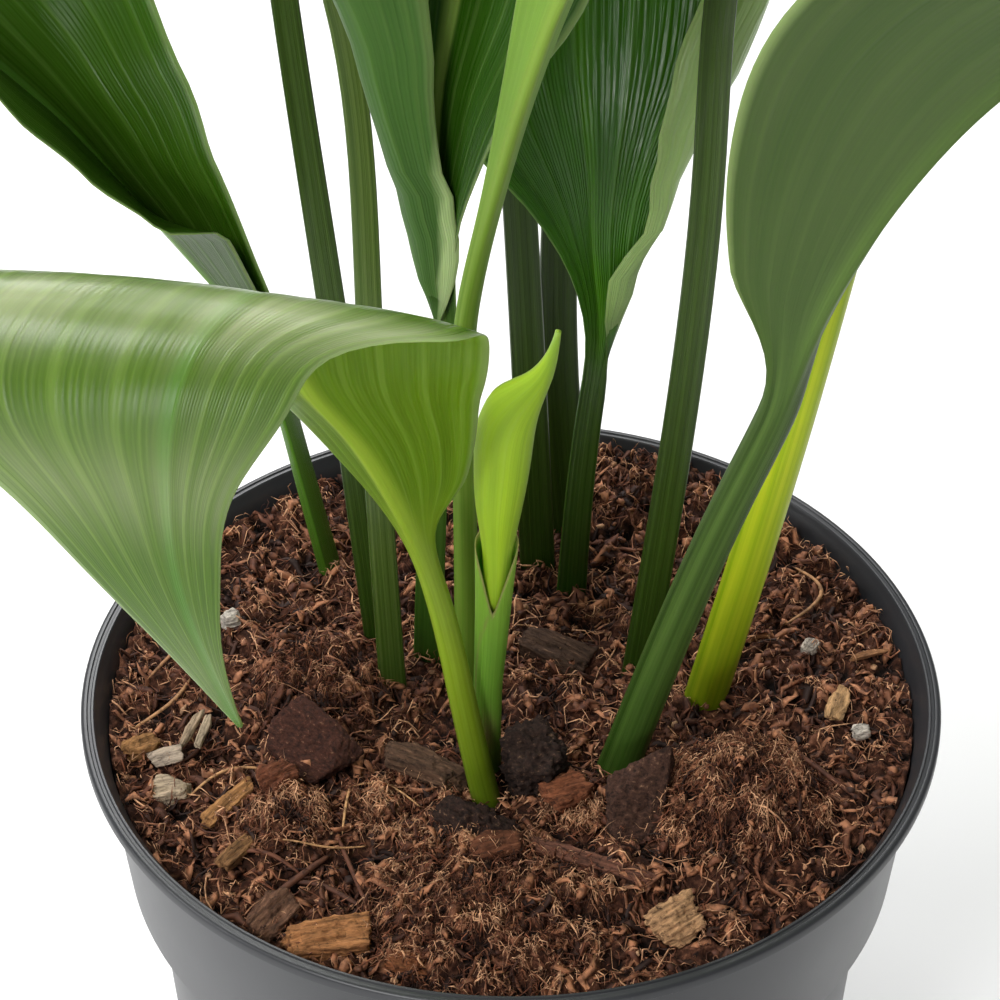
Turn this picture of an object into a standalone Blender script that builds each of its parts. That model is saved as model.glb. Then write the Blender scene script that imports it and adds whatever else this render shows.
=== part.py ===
"""A cast iron plant (Aspidistra) in a 19 cm black nursery pot.

The pot stands on Z = 0 with its axis on Z.  The side that is looked at is -Y.
Twelve leaves, each a petiole and its blade in one piece, and one rolled young leaf in its sheath
rise from two rootstocks that lie in the soil.  Lengths in the tables are millimetres.
"""
import math
from collections import namedtuple

import bmesh
import bpy
import numpy as np
from mathutils import Matrix, Vector, noise

MM = 0.001
CLEARANCE = 0.3
FACETS = 56

# The pot
RIM_RADIUS = 95.0
POT_HEIGHT = 150.0
FLANGE_WIDTH = 2.9
LIP_HEIGHT = 2.8
BAND_DEPTH = 43.0
BAND_TOP_RADIUS = 91.0
BAND_FOOT_RADIUS = 87.7
LOWER_TOP_RADIUS = 82.5
BASE_RADIUS = 76.0
POT_WALL = 1.2
CHANNEL_RISE = 3.0
DISC_RADIUS = 27.0
CHANNEL_OUTER_RADIUS = 60.0
FLOOR_TOP = 5.0
DRAIN_HOLES = 8
DRAIN_RADIUS = 4.5
DRAIN_CIRCLE = 44.0

# The soil and what lies in it
SOIL_TOP = 141.0
BANK_RISE = 3.5
BANK_LEAN = 1.8
BANK_START = 50.0
BANK_WIDTH = 39.0
FOOT = 130.0
Mound = namedtuple("Mound", "x y radius height")
MOUNDS = (
    Mound(49, -33, 17, 12),
    Mound(-5, -64, 21, 8),
    Mound(-48, -38, 10, 6),
    Mound(-46, 6, 16, 7),
    Mound(8, 2, 10, 4),
    Mound(34, 72, 17, 6),
    Mound(64, 14, 15, 3),
    Mound(-68, 22, 13, 3),
    Mound(24, -52, 9, 3),
    Mound(-4, -28, 7, -3),
)

# Sections of a leaf.  Bends of a half blade: place along the blade, rise of the half at the midrib,
# curl across it in degrees, and where across the half the curl begins and ends.
STALK_TAPER = 0.18
Leaf = namedtuple("Leaf", "petiole blade_row stations across blend thickness wave plus minus rows")
BLADE_HALF_WIDTHS = ((0, 0), (0.05, 0.18), (0.12, 0.48), (0.2, 0.75), (0.3, 0.93), (0.42, 1), (0.6, 0.95),
                     (0.76, 0.74), (0.88, 0.44), (0.96, 0.17), (1, 0.02))
OPEN = ((0, 30, 40, 0, 1), (0.15, 30, 0, 0, 1), (0.5, 15, -5, 0, 1), (1, 10, 0, 0, 1))
STRAIGHT = (0.0, 3, 0.0)


def upright(petiole, blade_row, width, rows, stations=22):
    """A plain leaf: its rows hold x, y, z and the heading of the blade's plus side."""
    full = [row + (0, width, width) for row in rows]
    return Leaf(petiole, blade_row, stations, 5, 0.16, 1.0, STRAIGHT, OPEN, OPEN, full)


# Rows from foot to tip: x, y, z, the plus side's heading and rise in degrees, then the half widths.
LEAVES = {
    "leaf_front_drooping": Leaf(
        3.3, 2.3, 34, 7, 0.16, 1.0, STRAIGHT,
        ((0, 25, 20, 0, 1), (0.1, 35, 10, 0, 1), (0.22, 35, 5, 0, 1), (0.42, 5, -5, 0, 1),
         (0.6, 0, -10, 0, 1), (1, 0, 0, 0, 1)),
        ((0, 30, 10, 0, 1), (0.12, 5, 0, 0, 1), (0.3, 0, 0, 0, 1), (0.42, 5, -22, 0.5, 1),
         (0.55, -5, -5, 0, 1), (1, 0, 0, 0, 1)),
        ((-4, -25.5, 130, 180, 0, 3, 3), (-10.5, -25.5, 169, 180, 0, 3, 3), (-14, -25, 190, 180, 0, 2.6, 2.6),
         (-18, -24, 206, 180, 0, 4.5, 4.5), (-24, -28, 225, 180, 0, 13, 14), (-31, -36, 246, 180, 0, 25, 24),
         (-38, -44, 263, 179, 1, 36, 32), (-41, -54, 282, 177, 2, 45, 37), (-43, -66, 301, 175, 3, 50, 37),
         (-47, -75, 306, 175, 3, 51, 34), (-53, -82, 303, 175, 2, 51, 24), (-58, -87, 292, 176, 0, 48, 20),
         (-60, -88, 275, 176, 0, 32, 12), (-60, -86, 255, 174, 0, 18, 8), (-57, -81, 232, 172, 0, 8, 3.6),
         (-52, -75, 207, 170, 0, 0.5, 0.5))),
    "leaf_left_arching": Leaf(
        3.1, 1.5, 30, 7, 0.08, 1.0, STRAIGHT,
        ((0, 60, 20, 0, 1), (0.08, 75, 0, 0, 1), (0.17, 68, 0, 0, 1), (0.22, 60, 0, 0, 1),
         (0.27, 50, 0, 0, 1), (0.45, 22, 0, 0, 1), (1, 10, 0, 0, 1)),
        ((0, 60, 20, 0, 1), (0.08, 94, 0, 0, 1), (0.13, 94, 0, 0, 1), (0.17, 69, 0, 0, 1),
         (0.22, 60, 0, 0, 1), (0.28, 54, 0, 0, 1), (0.36, 44, 0, 0, 1), (0.5, 20, 0, 0, 1), (1, 10, 0, 0, 1)),
        ((-40, 47, 130, 60, 0, 3, 3), (-49, 52, 175, 60, 0, 3, 3), (-57, 54, 204, 55, 25, 9, 9),
         (-68, 54, 222, 53, 27, 18, 18), (-79, 54, 238, 53, 27, 25, 25), (-86, 54, 248, 53, 27, 29, 25),
         (-96, 54, 262, 55, 26, 34, 26), (-107, 54, 274, 62, 22, 40, 32), (-150, 54, 318, 80, 10, 44, 42),
         (-200, 50, 346, 92, 2, 42, 42), (-255, 40, 360, 98, 0, 31, 31), (-305, 30, 355, 100, 0, 15, 15),
         (-340, 22, 343, 100, 0, 0.5, 0.5))),
    "leaf_back_left": upright(3.4, 2.9, 42, (
        (-29, 22, 130, 0), (-39, 37, 229, 0), (-47, 56, 290, 0), (-58, 72, 360, 10), (-100, 98, 445, 30),
        (-155, 128, 520, 45), (-215, 155, 560, 55), (-270, 180, 560, 58))),
    "leaf_left_tall": upright(3.1, 3.5, 43, (
        (-26, 7, 130, 0), (-30, 24, 236, 0), (-35.5, 42, 298, 10), (-49.5, 46, 340, 30), (-72, 44, 400, 75),
        (-112, 32, 480, 100), (-162, 8, 555, 110), (-214, -20, 596, 114), (-264, -48, 596, 120))),
    "leaf_centre_curled": Leaf(
        3.5, 1.3, 30, 9, 0.05, 1.0, STRAIGHT,
        ((0, 20, 80, 0, 1), (0.04, 40, 30, 0, 1), (0.115, 45, 20, 0, 1), (0.17, 50, 0, 0, 1),
         (0.35, 25, 0, 0, 1), (1, 10, 0, 0, 1)),
        ((0, 10, 140, 0.1, 0.9), (0.03, 0, 172, 0.22, 0.58), (0.06, 0, 174, 0.2, 0.555),
         (0.085, 0, 174, 0.235, 0.6), (0.102, 0, 174, 0.29, 0.68), (0.13, 0, 175, 0.345, 0.685),
         (0.165, 0, 175, 0.41, 0.685), (0.33, 5, 110, 0.42, 0.8), (0.5, 15, 0, 0, 1), (1, 10, 0, 0, 1)),
        ((-19, 18, 130, 0, 0, 3, 3), (-15, 19, 219, 0, 0, 3, 5), (-14, 20, 236, 0, 0, 4, 11),
         (-15, 21, 258, 0, 0, 7, 19.5), (-15, 22, 274, 0, 0, 14, 25), (-14, 25, 289, 0, 0, 23, 35.5),
         (-11, 31, 304, 0, 0, 34, 52.5), (-15, 52, 380, 0, 0, 42, 60), (-32, 88, 470, 5, 0, 42, 46),
         (-56, 130, 555, 12, 0, 33, 33), (-84, 182, 615, 20, 0, 17, 17), (-110, 235, 635, 24, 0, 0.5, 0.5))),
    "leaf_centre_young": Leaf(
        2.8, 2.2, 26, 5, 0.1, 1.0, STRAIGHT,
        ((0, 50, 20, 0, 1), (0.12, 64, 5, 0, 1), (0.25, 68, 0, 0, 1), (0.5, 20, -5, 0, 1), (1, 10, 0, 0, 1)),
        ((0, 50, 20, 0, 1), (0.12, 64, 5, 0, 1), (0.25, 68, 0, 0, 1), (0.5, 20, -5, 0, 1), (1, 10, 0, 0, 1)),
        ((-10, 7, 130, 180, 0, 3, 3), (-10, 0, 215, 180, 0, 3, 3), (-9, -3, 252, 180, 0, 3, 3),
         (-4, -6, 279, 180, 0, 5, 5), (2, -10, 305, 180, 0, 9, 9), (9, -15, 330, 180, 0, 16, 16),
         (34, -30, 385, 182, 0, 33, 33), (58, -58, 465, 188, 0, 42, 42), (90, -105, 535, 195, 0, 36, 36),
         (122, -158, 575, 200, 0, 18, 18), (150, -208, 582, 205, 0, 0.5, 0.5))),
    "leaf_centre_folded": Leaf(
        3.6, 1.1, 32, 9, 0.06, 1.0, STRAIGHT,
        ((0, 10, 150, 0.2, 0.8), (0.04, 0, 168, 0.34, 0.7), (0.06, 0, 168, 0.4, 0.72),
         (0.09, 0, 165, 0.64, 0.87), (0.112, 0, 165, 0.58, 0.83), (0.135, 0, 165, 0.54, 0.79),
         (0.16, 0, 165, 0.55, 0.77), (0.2, 0, 165, 0.6, 0.8), (0.4, 10, 60, 0.5, 1), (0.6, 15, 0, 0, 1),
         (1, 10, 0, 0, 1)),
        ((0, 30, 20, 0, 1), (0.06, 10, 0, 0, 1), (0.15, 5, -5, 0, 1), (0.3, 5, -10, 0, 1),
         (0.5, 15, 0, 0, 1), (1, 10, 0, 0, 1)),
        ((14, 42, 130, 0, 0, 3.5, 3.5), (18, 45, 193, 0, 0, 3.5, 3.5), (19.5, 46, 212, 0, 0, 11, 3.7),
         (17.5, 47, 235, 0, 0, 20, 8), (17, 49, 250, 0, 0, 27.5, 18), (15, 53, 270, 0, 0, 50, 31),
         (14, 58, 289, 0, 0, 60, 41), (22, 78, 390, 0, 0, 54, 45), (42, 98, 480, -5, 0, 45, 43),
         (66, 132, 560, -12, 0, 33, 33), (94, 178, 612, -18, 0, 17, 17), (122, 228, 630, -20, 0, 0.5, 0.5))),
    "leaf_back_centre": upright(4.2, 2.9, 42, (
        (7, 50, 130, 0), (3, 61, 216, 0), (0, 71, 267, 0), (-4, 92, 350, 0), (-8, 128, 440, 5),
        (-16, 182, 525, 6), (-26, 250, 590, 8), (-36, 318, 612, 8))),
    "leaf_back_right": upright(4.6, 2.9, 40, (
        (16, 61, 130, 0), (11, 74, 207, 0), (13, 85, 251, 0), (27, 106, 350, -5), (52, 146, 440, -20),
        (88, 200, 515, -28), (128, 256, 560, -32), (164, 304, 566, -34))),
    "leaf_right_tall": upright(3.8, 3.8, 43, (
        (28, 14, 130, 0), (36, 17, 209, 0), (40, 22, 275, 0), (41, 28, 306, 0), (56, 38, 380, -10),
        (88, 58, 475, -25), (136, 86, 560, -45), (196, 116, 610, -58), (255, 142, 612, -62))),
    "leaf_right_broad": Leaf(
        4.8, 2.0, 34, 7, 0.1, 1.0, (2.5, 3, 0.5),
        ((0, 10, 10, 0, 1), (0.1, 5, 0, 0, 1), (0.25, 5, -5, 0, 1), (0.5, 5, -10, 0, 1), (1, 10, 0, 0, 1)),
        ((0, 50, 40, 0, 1), (0.1, 68, 5, 0, 1), (0.35, 64, 0, 0, 1), (0.6, 25, -5, 0, 1), (1, 10, 0, 0, 1)),
        ((21, -17, 130, 180, 0, 4, 4), (45, -27, 226, 180, 0, 4, 4), (51, -32, 249, 180, 0, 7, 5),
         (56, -37, 271, 180, 0, 15, 12), (62, -42, 291, 180, 0, 25, 18), (72, -50, 317, 180, 0, 37, 28),
         (82, -57, 336, 183, 0, 45, 36), (125, -78, 378, 193, 0, 48, 46), (175, -102, 408, 212, 0, 44, 44),
         (230, -130, 420, 228, 0, 28, 28), (280, -155, 410, 236, 0, 0.5, 0.5))),
    "leaf_right_low": upright(4.9, 2.8, 40, (
        (42, 6, 130, 180), (61, 2, 237, 182), (73, 8, 295, 192), (97, 12, 362, 218), (142, 16, 432, 244),
        (205, 22, 478, 262), (270, 28, 488, 268), (330, 32, 465, 270))),
    "sprout_rolled_leaf": Leaf(
        2.1, 2.0, 20, 7, 0.14, 0.7, STRAIGHT,
        ((0, 0, 150, 0, 1), (0.3, 0, 215, 0, 1), (0.7, 0, 215, 0, 1), (1, 0, 120, 0, 1)),
        ((0, 0, 150, 0, 1), (0.3, 0, 230, 0, 1), (0.7, 0, 230, 0, 1), (1, 0, 120, 0, 1)),
        ((-5, -16.5, 130, 270, 0, 2, 2), (-5, -17.1, 155, 270, 0, 2, 2), (-4, -17.8, 179, 270, 0, 2, 2),
         (-1.5, -18.3, 191, 270, 0, 7.5, 4.5), (-0.4, -18.7, 203, 270, 0, 10.3, 5.5),
         (1.3, -19, 214, 270, 0, 16, 8), (3.4, -19.5, 229, 270, 0, 20.5, 9), (4.9, -19.5, 240, 270, 0, 18.5, 8),
         (7.5, -19.5, 249, 270, 0, 7.5, 4), (8.9, -20, 260, 270, 0, 0.6, 0.6))),
}
SKEWED = "leaf_front_drooping"
SHEATHED = "sprout_rolled_leaf"
# The sheath's axis from foot to top, x, y, z, and its outer radius there.
SHEATH_ROWS = ((-5, -16.5, 130, 3), (-5.1, -17, 150, 2.9), (-5, -17.4, 165, 3.1), (-4.3, -17.8, 178, 3.5),
               (-3.7, -18.2, 191, 3.9), (-3, -19, 207, 4.6))
SHEATH_WALL = 0.6
SHEATH_NOTCH = 18.0
SHEATH_NOTCH_HEADING = 268.0

# Rootstocks: points of the axis and the radius there, their tops just under the leaves' feet.
ROOTSTOCKS = {
    "rootstock_left": ((2, -24, 121, 2), (-3, -25, 121, 7), (-10, -20, 121, 8), (-13, -6, 121, 8),
                       (-14, 7, 121, 8), (-22, 16, 121, 8), (-31, 28, 121, 8), (-38, 42, 121, 7.5),
                       (-41, 50, 121, 6), (-42, 54, 121, 2)),
    "rootstock_right": ((17, -24, 121, 2), (19, -20, 121, 7), (27, -8, 121, 8), (33, 6, 121, 8),
                        (28, 20, 121, 8), (19, 34, 121, 8), (12, 46, 121, 8), (13, 58, 121, 7.5),
                        (15, 66, 121, 2)),
}

# Pieces of bark, cork and wood: place of the middle, size, turns about X, Y and Z in degrees.
Piece = namedtuple("Piece", "x y z length width thickness tilt_x tilt_y yaw colour seed")
BARK = {
    "bark_red": Piece(-44, -15, 146.0, 20, 14, 4.5, 28, 8, -38, "5A3328", 1),
    "bark_stick": Piece(-19.5, -20.5, 144.0, 17, 7, 5, 12, 6, -24, "5B4436", 2),
    "bark_dark_front": Piece(-8, -39, 143.0, 18, 9, 8, 15, 8, -24, "2E2120", 3),
    "bark_dark_round": Piece(5, -23, 146.5, 11, 13, 19, 10, 0, 15, "33261F", 4),
    "bark_slab": Piece(27, -35.5, 146.5, 13, 18, 4, 52, 6, 8, "4A332B", 5),
    "bark_back": Piece(10, 17.5, 143.2, 16, 8, 4, 22, 8, -28, "5B463A", 6),
    "cork_left": Piece(-37.3, -71.5, 144.0, 17, 9, 6, 10, 0, 8, "A9733F", 7),
    "cork_front": Piece(-20.5, -78.5, 143.6, 10, 6, 5, 10, 5, -8, "8A5A34", 8),
    "cork_right": Piece(34, -67, 144.0, 10, 9, 4.5, 25, 0, 38, "B48A56", 9),
    "bark_left_rim": Piece(-49.5, -64, 143.2, 13, 8, 4, 18, 0, 58, "6B4A36", 10),
    "wood_chip_pale": Piece(-74, -28, 143.2, 9, 5.5, 4.5, 10, 0, 12, "B49C83", 11),
    "wood_sliver_left": Piece(-61, -32, 143.2, 14, 4, 3, 10, -6, 48, "9C6B40", 12),
    "wood_sliver_right": Piece(73, -1, 144.4, 12, 4, 2.6, 10, 6, 72, "B98A5C", 13),
    "twig_front": Piece(17, -50.5, 144.6, 27, 3.4, 2.6, 8, 0, -24, "5C3A2E", 14),
}

LEAF_GREENS = {
    "leaf_front_drooping": "3E7A26",
    "leaf_centre_young": "6FA339",
    "leaf_right_low": "8DBF1E",
    "sprout_rolled_leaf": "7FB23A",
}
LEAF_GREEN = "2F5A22"
SHEATH_GREEN = "8FA05C"
POT_BLACK = "34363A"
SOIL_BROWN = "4A2E22"
ROOTSTOCK_CREAM = "C9B78C"


def linear(hex_colour):
    """sRGB hex to the linear colour that shaders take."""
    channels = [int(hex_colour[i:i + 2], 16) / 255 for i in (0, 2, 4)]
    return [c / 12.92 if c <= 0.04045 else ((c + 0.055) / 1.055) ** 2.4 for c in channels] + [1.0]


def material(name, hex_colour, roughness):
    found = bpy.data.materials.get(name)
    if found:
        return found
    made = bpy.data.materials.new(name)
    made.use_nodes = True
    shader = made.node_tree.nodes["Principled BSDF"]
    shader.inputs["Base Color"].default_value = linear(hex_colour)
    shader.inputs["Roughness"].default_value = roughness
    shader.inputs["Metallic"].default_value = 0.0
    made.diffuse_color = linear(hex_colour)
    return made


def clear_scene():
    for item in list(bpy.data.objects):
        bpy.data.objects.remove(item, do_unlink=True)


def collection(name):
    made = bpy.data.collections.new(name)
    bpy.context.scene.collection.children.link(made)
    return made


def add_object(name, mesh, home, surface=None):
    item = bpy.data.objects.new(name, mesh)
    if surface:
        mesh.materials.append(surface)
    home.objects.link(item)
    return item


def as_cutter(item):
    item.hide_render = True
    item.display_type = "WIRE"
    return item


def shade_smooth(mesh):
    for face in mesh.polygons:
        face.use_smooth = True


def cut(item, cutters):
    """Take a whole collection of cutters out of one solid."""
    modifier = item.modifiers.new("holes", "BOOLEAN")
    modifier.operation = "DIFFERENCE"
    modifier.solver = "EXACT"
    modifier.operand_type = "COLLECTION"
    modifier.collection = cutters


def spline(knots, values, places):
    """Natural cubic spline through the values at the knots."""
    knots = np.asarray(knots, float)
    values = np.asarray(values, float)
    gap = np.diff(knots)
    slope = np.diff(values, axis=0) / gap[:, None]
    count = len(knots)
    system = np.eye(count)
    right = np.zeros_like(values)
    for i in range(1, count - 1):
        system[i, i - 1:i + 2] = gap[i - 1], 2 * (gap[i - 1] + gap[i]), gap[i]
        right[i] = 6 * (slope[i] - slope[i - 1])
    bend = np.linalg.solve(system, right)
    i = np.clip(np.searchsorted(knots, places, side="right") - 1, 0, count - 2)
    a = (knots[i + 1] - places) / gap[i]
    b = 1 - a
    cubic = ((a**3 - a)[:, None] * bend[i] + (b**3 - b)[:, None] * bend[i + 1]) * (gap[i]**2)[:, None] / 6
    return a[:, None] * values[i] + b[:, None] * values[i + 1] + cubic


def ease(rows, places):
    """Rows of (place, values...) joined by smooth steps."""
    rows = np.asarray(rows, float)
    i = np.clip(np.searchsorted(rows[:, 0], places, side="right") - 1, 0, len(rows) - 2)
    f = np.clip((places - rows[i, 0]) / (rows[i + 1, 0] - rows[i, 0]), 0, 1)
    f = (f * f * (3 - 2 * f))[:, None]
    return rows[i, 1:] * (1 - f) + rows[i + 1, 1:] * f


def arc_lengths(points):
    return np.concatenate(([0], np.cumsum(np.linalg.norm(np.diff(points, axis=0), axis=1))))


def unit(vectors):
    return vectors / np.linalg.norm(vectors, axis=1)[:, None]


def half_blade(places, width, bend):
    """Out and up across one half of the blade, and the surface's angle, at places from 0 to 1."""
    fold, curl, near, far = bend
    q = np.linspace(0, 1, 65)
    angle = np.radians(fold + curl * np.clip((q - near) / (far - near), 0, 1))
    step = np.diff(q)
    out = np.concatenate(([0], np.cumsum(0.5 * (np.cos(angle[1:]) + np.cos(angle[:-1])) * step)))
    up = np.concatenate(([0], np.cumsum(0.5 * (np.sin(angle[1:]) + np.sin(angle[:-1])) * step)))
    return width * np.interp(places, q, out), width * np.interp(places, q, up), np.interp(places, q, angle)


def petiole_section(radius, across):
    """A stalk that is round below and channelled above: points of the top and of the underside."""
    theta = np.pi * (np.arange(across) + 0.5) / across
    t = -np.cos(theta)
    top = np.stack((0.92 * radius * t, radius * (0.35 - 0.5 * (1 - t**2))), 1)
    bottom = np.stack((radius * t, 0.2 * radius - 1.15 * radius * np.sin(theta)), 1)
    return top, bottom


def blade_section(leaf, u, blend, radius, widths, plus, minus):
    """A blade's section: points of the top and of the underside, with the rib under the midrib."""
    theta = np.pi * (np.arange(leaf.across) + 0.5) / leaf.across
    t = (1 - blend) * np.cos(theta)[::-1] / math.cos(theta[0]) + blend * np.linspace(-1, 1, leaf.across)
    x, z, lean = np.zeros_like(t), np.zeros_like(t), np.zeros_like(t)
    for sign, width, bend in ((1, widths[0], plus), (-1, widths[1], minus)):
        side = sign * t > 1e-6
        out, up, angle = half_blade(np.abs(t[side]), width, bend)
        x[side], z[side], lean[side] = sign * out, up, sign * angle
    amplitude, count, phase = leaf.wave
    ripple = amplitude * np.sin(2 * np.pi * count * u + phase + np.where(t > 0, 0, 1.9)) * np.abs(t)**2.2
    ripple *= math.sin(math.pi * min(1, u * 1.15)) ** 0.7
    rib = 0.35 * radius * np.exp(-(np.abs(t) * max(widths) / (0.6 * radius + 0.2))**2)
    half = 0.5 * leaf.thickness
    normal = np.stack((-np.sin(lean), np.cos(lean)), 1)
    middle = np.stack((x, z + ripple), 1)
    return middle + half * normal, middle - (half + rib)[:, None] * normal


def leaf_rings(leaf, skewed=False):
    """Rings of points from the petiole's foot to the tip, and the rings' centres."""
    table = np.asarray(leaf.rows, float)
    chord = arc_lengths(table[:, :3])
    fine = np.linspace(0, chord[-1], 1500)
    length = arc_lengths(spline(chord, table[:, :3], fine))
    start = np.interp(np.interp(leaf.blade_row, np.arange(len(table)), chord), fine, length)
    stalk_stations = max(3, round(leaf.stations * 0.28))
    s = np.concatenate((np.linspace(0, start, stalk_stations, endpoint=False),
                        np.linspace(start, length[-1], leaf.stations - stalk_stations)))
    place = np.interp(s, length, fine)
    centre = spline(chord, table[:, :3], place)
    ahead = spline(chord, table[:, :3], np.clip(place + 0.2, 0, chord[-1]))
    behind = spline(chord, table[:, :3], np.clip(place - 0.2, 0, chord[-1]))
    tangent = unit(ahead - behind)
    heading, rise = np.radians(spline(chord, table[:, 3:5], place)).T
    side = np.stack((np.cos(heading) * np.cos(rise), np.sin(heading) * np.cos(rise), np.sin(rise)), 1)
    if not skewed:
        side = unit(side - tangent * np.sum(side * tangent, 1)[:, None])
    normal = unit(np.cross(side, tangent))

    u = np.clip((s - start) / (length[-1] - start), 0, 1)
    if len(set(table[:, 5])) > 1:
        widths = np.maximum(spline(chord, table[:, 5:7], place), 0.4)
        widths[u == 0] = leaf.petiole
    else:
        width = table[0, 5] * ease(BLADE_HALF_WIDTHS, u)
        widths = np.repeat(np.maximum(width, leaf.petiole * (1 - 0.9 * u)[:, None]), 2, axis=1)
    radius = np.maximum(leaf.petiole * (1 - STALK_TAPER * s / start - 0.35 * u), 0.45 * leaf.petiole)
    blend = np.clip(u / leaf.blend, 0, 1)
    blend = blend * blend * (3 - 2 * blend)
    plus, minus = ease(leaf.plus, u), ease(leaf.minus, u)

    rings = np.zeros((leaf.stations, 2 * leaf.across, 3))
    for i in range(leaf.stations):
        stalk = petiole_section(radius[i], leaf.across)
        blade = blade_section(leaf, u[i], blend[i], radius[i], widths[i], plus[i], minus[i])
        top, bottom = ((1 - blend[i]) * a + blend[i] * b for a, b in zip(stalk, blade))
        section = np.concatenate((top, bottom[::-1]))
        rings[i] = centre[i] + section[:, :1] * side[i] + section[:, 1:] * normal[i]
    return rings, centre


def wrap(name, rings, home, surface=None, closed=False, top_columns=0):
    """A closed skin through rings of points; the end rings are capped unless the rings close on themselves.

    The first top_columns columns are split along one diagonal and the others along the other one, so
    that both faces of a thin blade fold alike.
    """
    rings = np.asarray(rings, float)
    if closed:
        rings = np.concatenate((rings, rings[:1]))
    rows, around = rings.shape[0] - 1, rings.shape[1]
    bm = bmesh.new()
    bmesh.ops.create_grid(bm, x_segments=around, y_segments=rows, size=0.5)
    columns = {}
    for vertex in bm.verts:
        column, row = round((vertex.co.x + 0.5) * around), round((vertex.co.y + 0.5) * rows)
        columns[vertex] = column
        vertex.co = Vector(rings[row, column % around]) * MM
    top = [f for f in bm.faces if max(columns[v] for v in f.verts) <= top_columns]
    rest = [f for f in bm.faces if f not in set(top)]
    bmesh.ops.triangulate(bm, faces=top, quad_method="FIXED")
    bmesh.ops.triangulate(bm, faces=rest, quad_method="ALTERNATE")
    bmesh.ops.remove_doubles(bm, verts=bm.verts, dist=0.001 * MM)
    caps = bmesh.ops.holes_fill(bm, edges=[e for e in bm.edges if e.is_boundary], sides=0)["faces"]
    bmesh.ops.triangulate(bm, faces=caps)
    bmesh.ops.recalc_face_normals(bm, faces=bm.faces)
    mesh = bpy.data.meshes.new(name)
    bm.to_mesh(mesh)
    bm.free()
    shade_smooth(mesh)
    return add_object(name, mesh, home, surface)


def turned(name, profile, home, surface, steps=FACETS):
    """A closed outline of (radius, height) points, top to bottom, turned about Z."""
    bm = bmesh.new()
    points = [bm.verts.new((r * MM, 0, z * MM)) for r, z in profile]
    for a, b in zip(points, points[1:]):
        bm.edges.new((a, b))
    mesh = bpy.data.meshes.new(name)
    bm.to_mesh(mesh)
    bm.free()
    item = add_object(name, mesh, home, surface)
    screw = item.modifiers.new("turn", "SCREW")
    screw.axis = "Z"
    screw.angle = 2 * math.pi
    screw.steps = steps
    screw.render_steps = steps
    screw.use_merge_vertices = True
    screw.merge_threshold = 0.00005
    screw.use_smooth_shade = True
    return item


def pot_inside():
    """The pot's inside from the floor up to under the rim, as (radius, height)."""
    shelf = POT_HEIGHT - BAND_DEPTH + POT_WALL
    return [(BASE_RADIUS - POT_WALL, FLOOR_TOP), (LOWER_TOP_RADIUS - POT_WALL, shelf),
            (BAND_FOOT_RADIUS - POT_WALL, shelf + 0.5),
            (BAND_TOP_RADIUS - POT_WALL, POT_HEIGHT - LIP_HEIGHT - 2)]


def make_pot(home, cutters):
    """The moulded pot: rolled rim, drafted upper band, stepped-in lower wall, feet and drain holes."""
    step = POT_HEIGHT - BAND_DEPTH
    lip = POT_HEIGHT - LIP_HEIGHT
    flange = RIM_RADIUS - FLANGE_WIDTH
    profile = (
        (0, FLOOR_TOP), *pot_inside(), (flange - 0.6, POT_HEIGHT - 1.2), (flange, POT_HEIGHT - 0.3),
        (flange + 0.6, POT_HEIGHT), (RIM_RADIUS - 0.7, POT_HEIGHT), (RIM_RADIUS, POT_HEIGHT - 0.6),
        (RIM_RADIUS, lip + 0.3), (RIM_RADIUS - 0.4, lip), (BAND_TOP_RADIUS, lip),
        (BAND_FOOT_RADIUS, step + 0.8), (BAND_FOOT_RADIUS - 0.8, step), (LOWER_TOP_RADIUS, step),
        (BASE_RADIUS + 1, 6), (BASE_RADIUS, 2), (BASE_RADIUS - 2, 0), (CHANNEL_OUTER_RADIUS + 2, 0),
        (CHANNEL_OUTER_RADIUS, CHANNEL_RISE), (DISC_RADIUS + 2, CHANNEL_RISE), (DISC_RADIUS, 0), (0, 0),
    )
    pot = turned("pot", profile, home, material("pot plastic", POT_BLACK, 0.45))
    for i in range(DRAIN_HOLES):
        angle = 2 * math.pi * i / DRAIN_HOLES
        place = (DRAIN_CIRCLE * MM * math.cos(angle), DRAIN_CIRCLE * MM * math.sin(angle), 0.5 * FLOOR_TOP * MM)
        mesh = bpy.data.meshes.new("drain cutter")
        bm = bmesh.new()
        bmesh.ops.create_cone(bm, cap_ends=True, segments=10, radius1=DRAIN_RADIUS * MM,
                              radius2=DRAIN_RADIUS * MM, depth=3 * FLOOR_TOP * MM)
        bm.to_mesh(mesh)
        bm.free()
        as_cutter(add_object("drain_cutter", mesh, cutters)).location = place
    cut(pot, cutters)
    return pot


def ground(x, y):
    """Height of the soil's surface: banked up to the wall, most at the back, with mounds of the mix."""
    radius = np.hypot(x, y)
    bank = np.clip((radius - BANK_START) / BANK_WIDTH, 0, 1)
    z = SOIL_TOP + (BANK_RISE + BANK_LEAN * y / (BANK_START + BANK_WIDTH)) * bank**2
    for mound in MOUNDS:
        away = math.hypot(x - mound.x, y - mound.y) / mound.radius
        z += mound.height * math.exp(-away**2.6)
    return z


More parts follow.
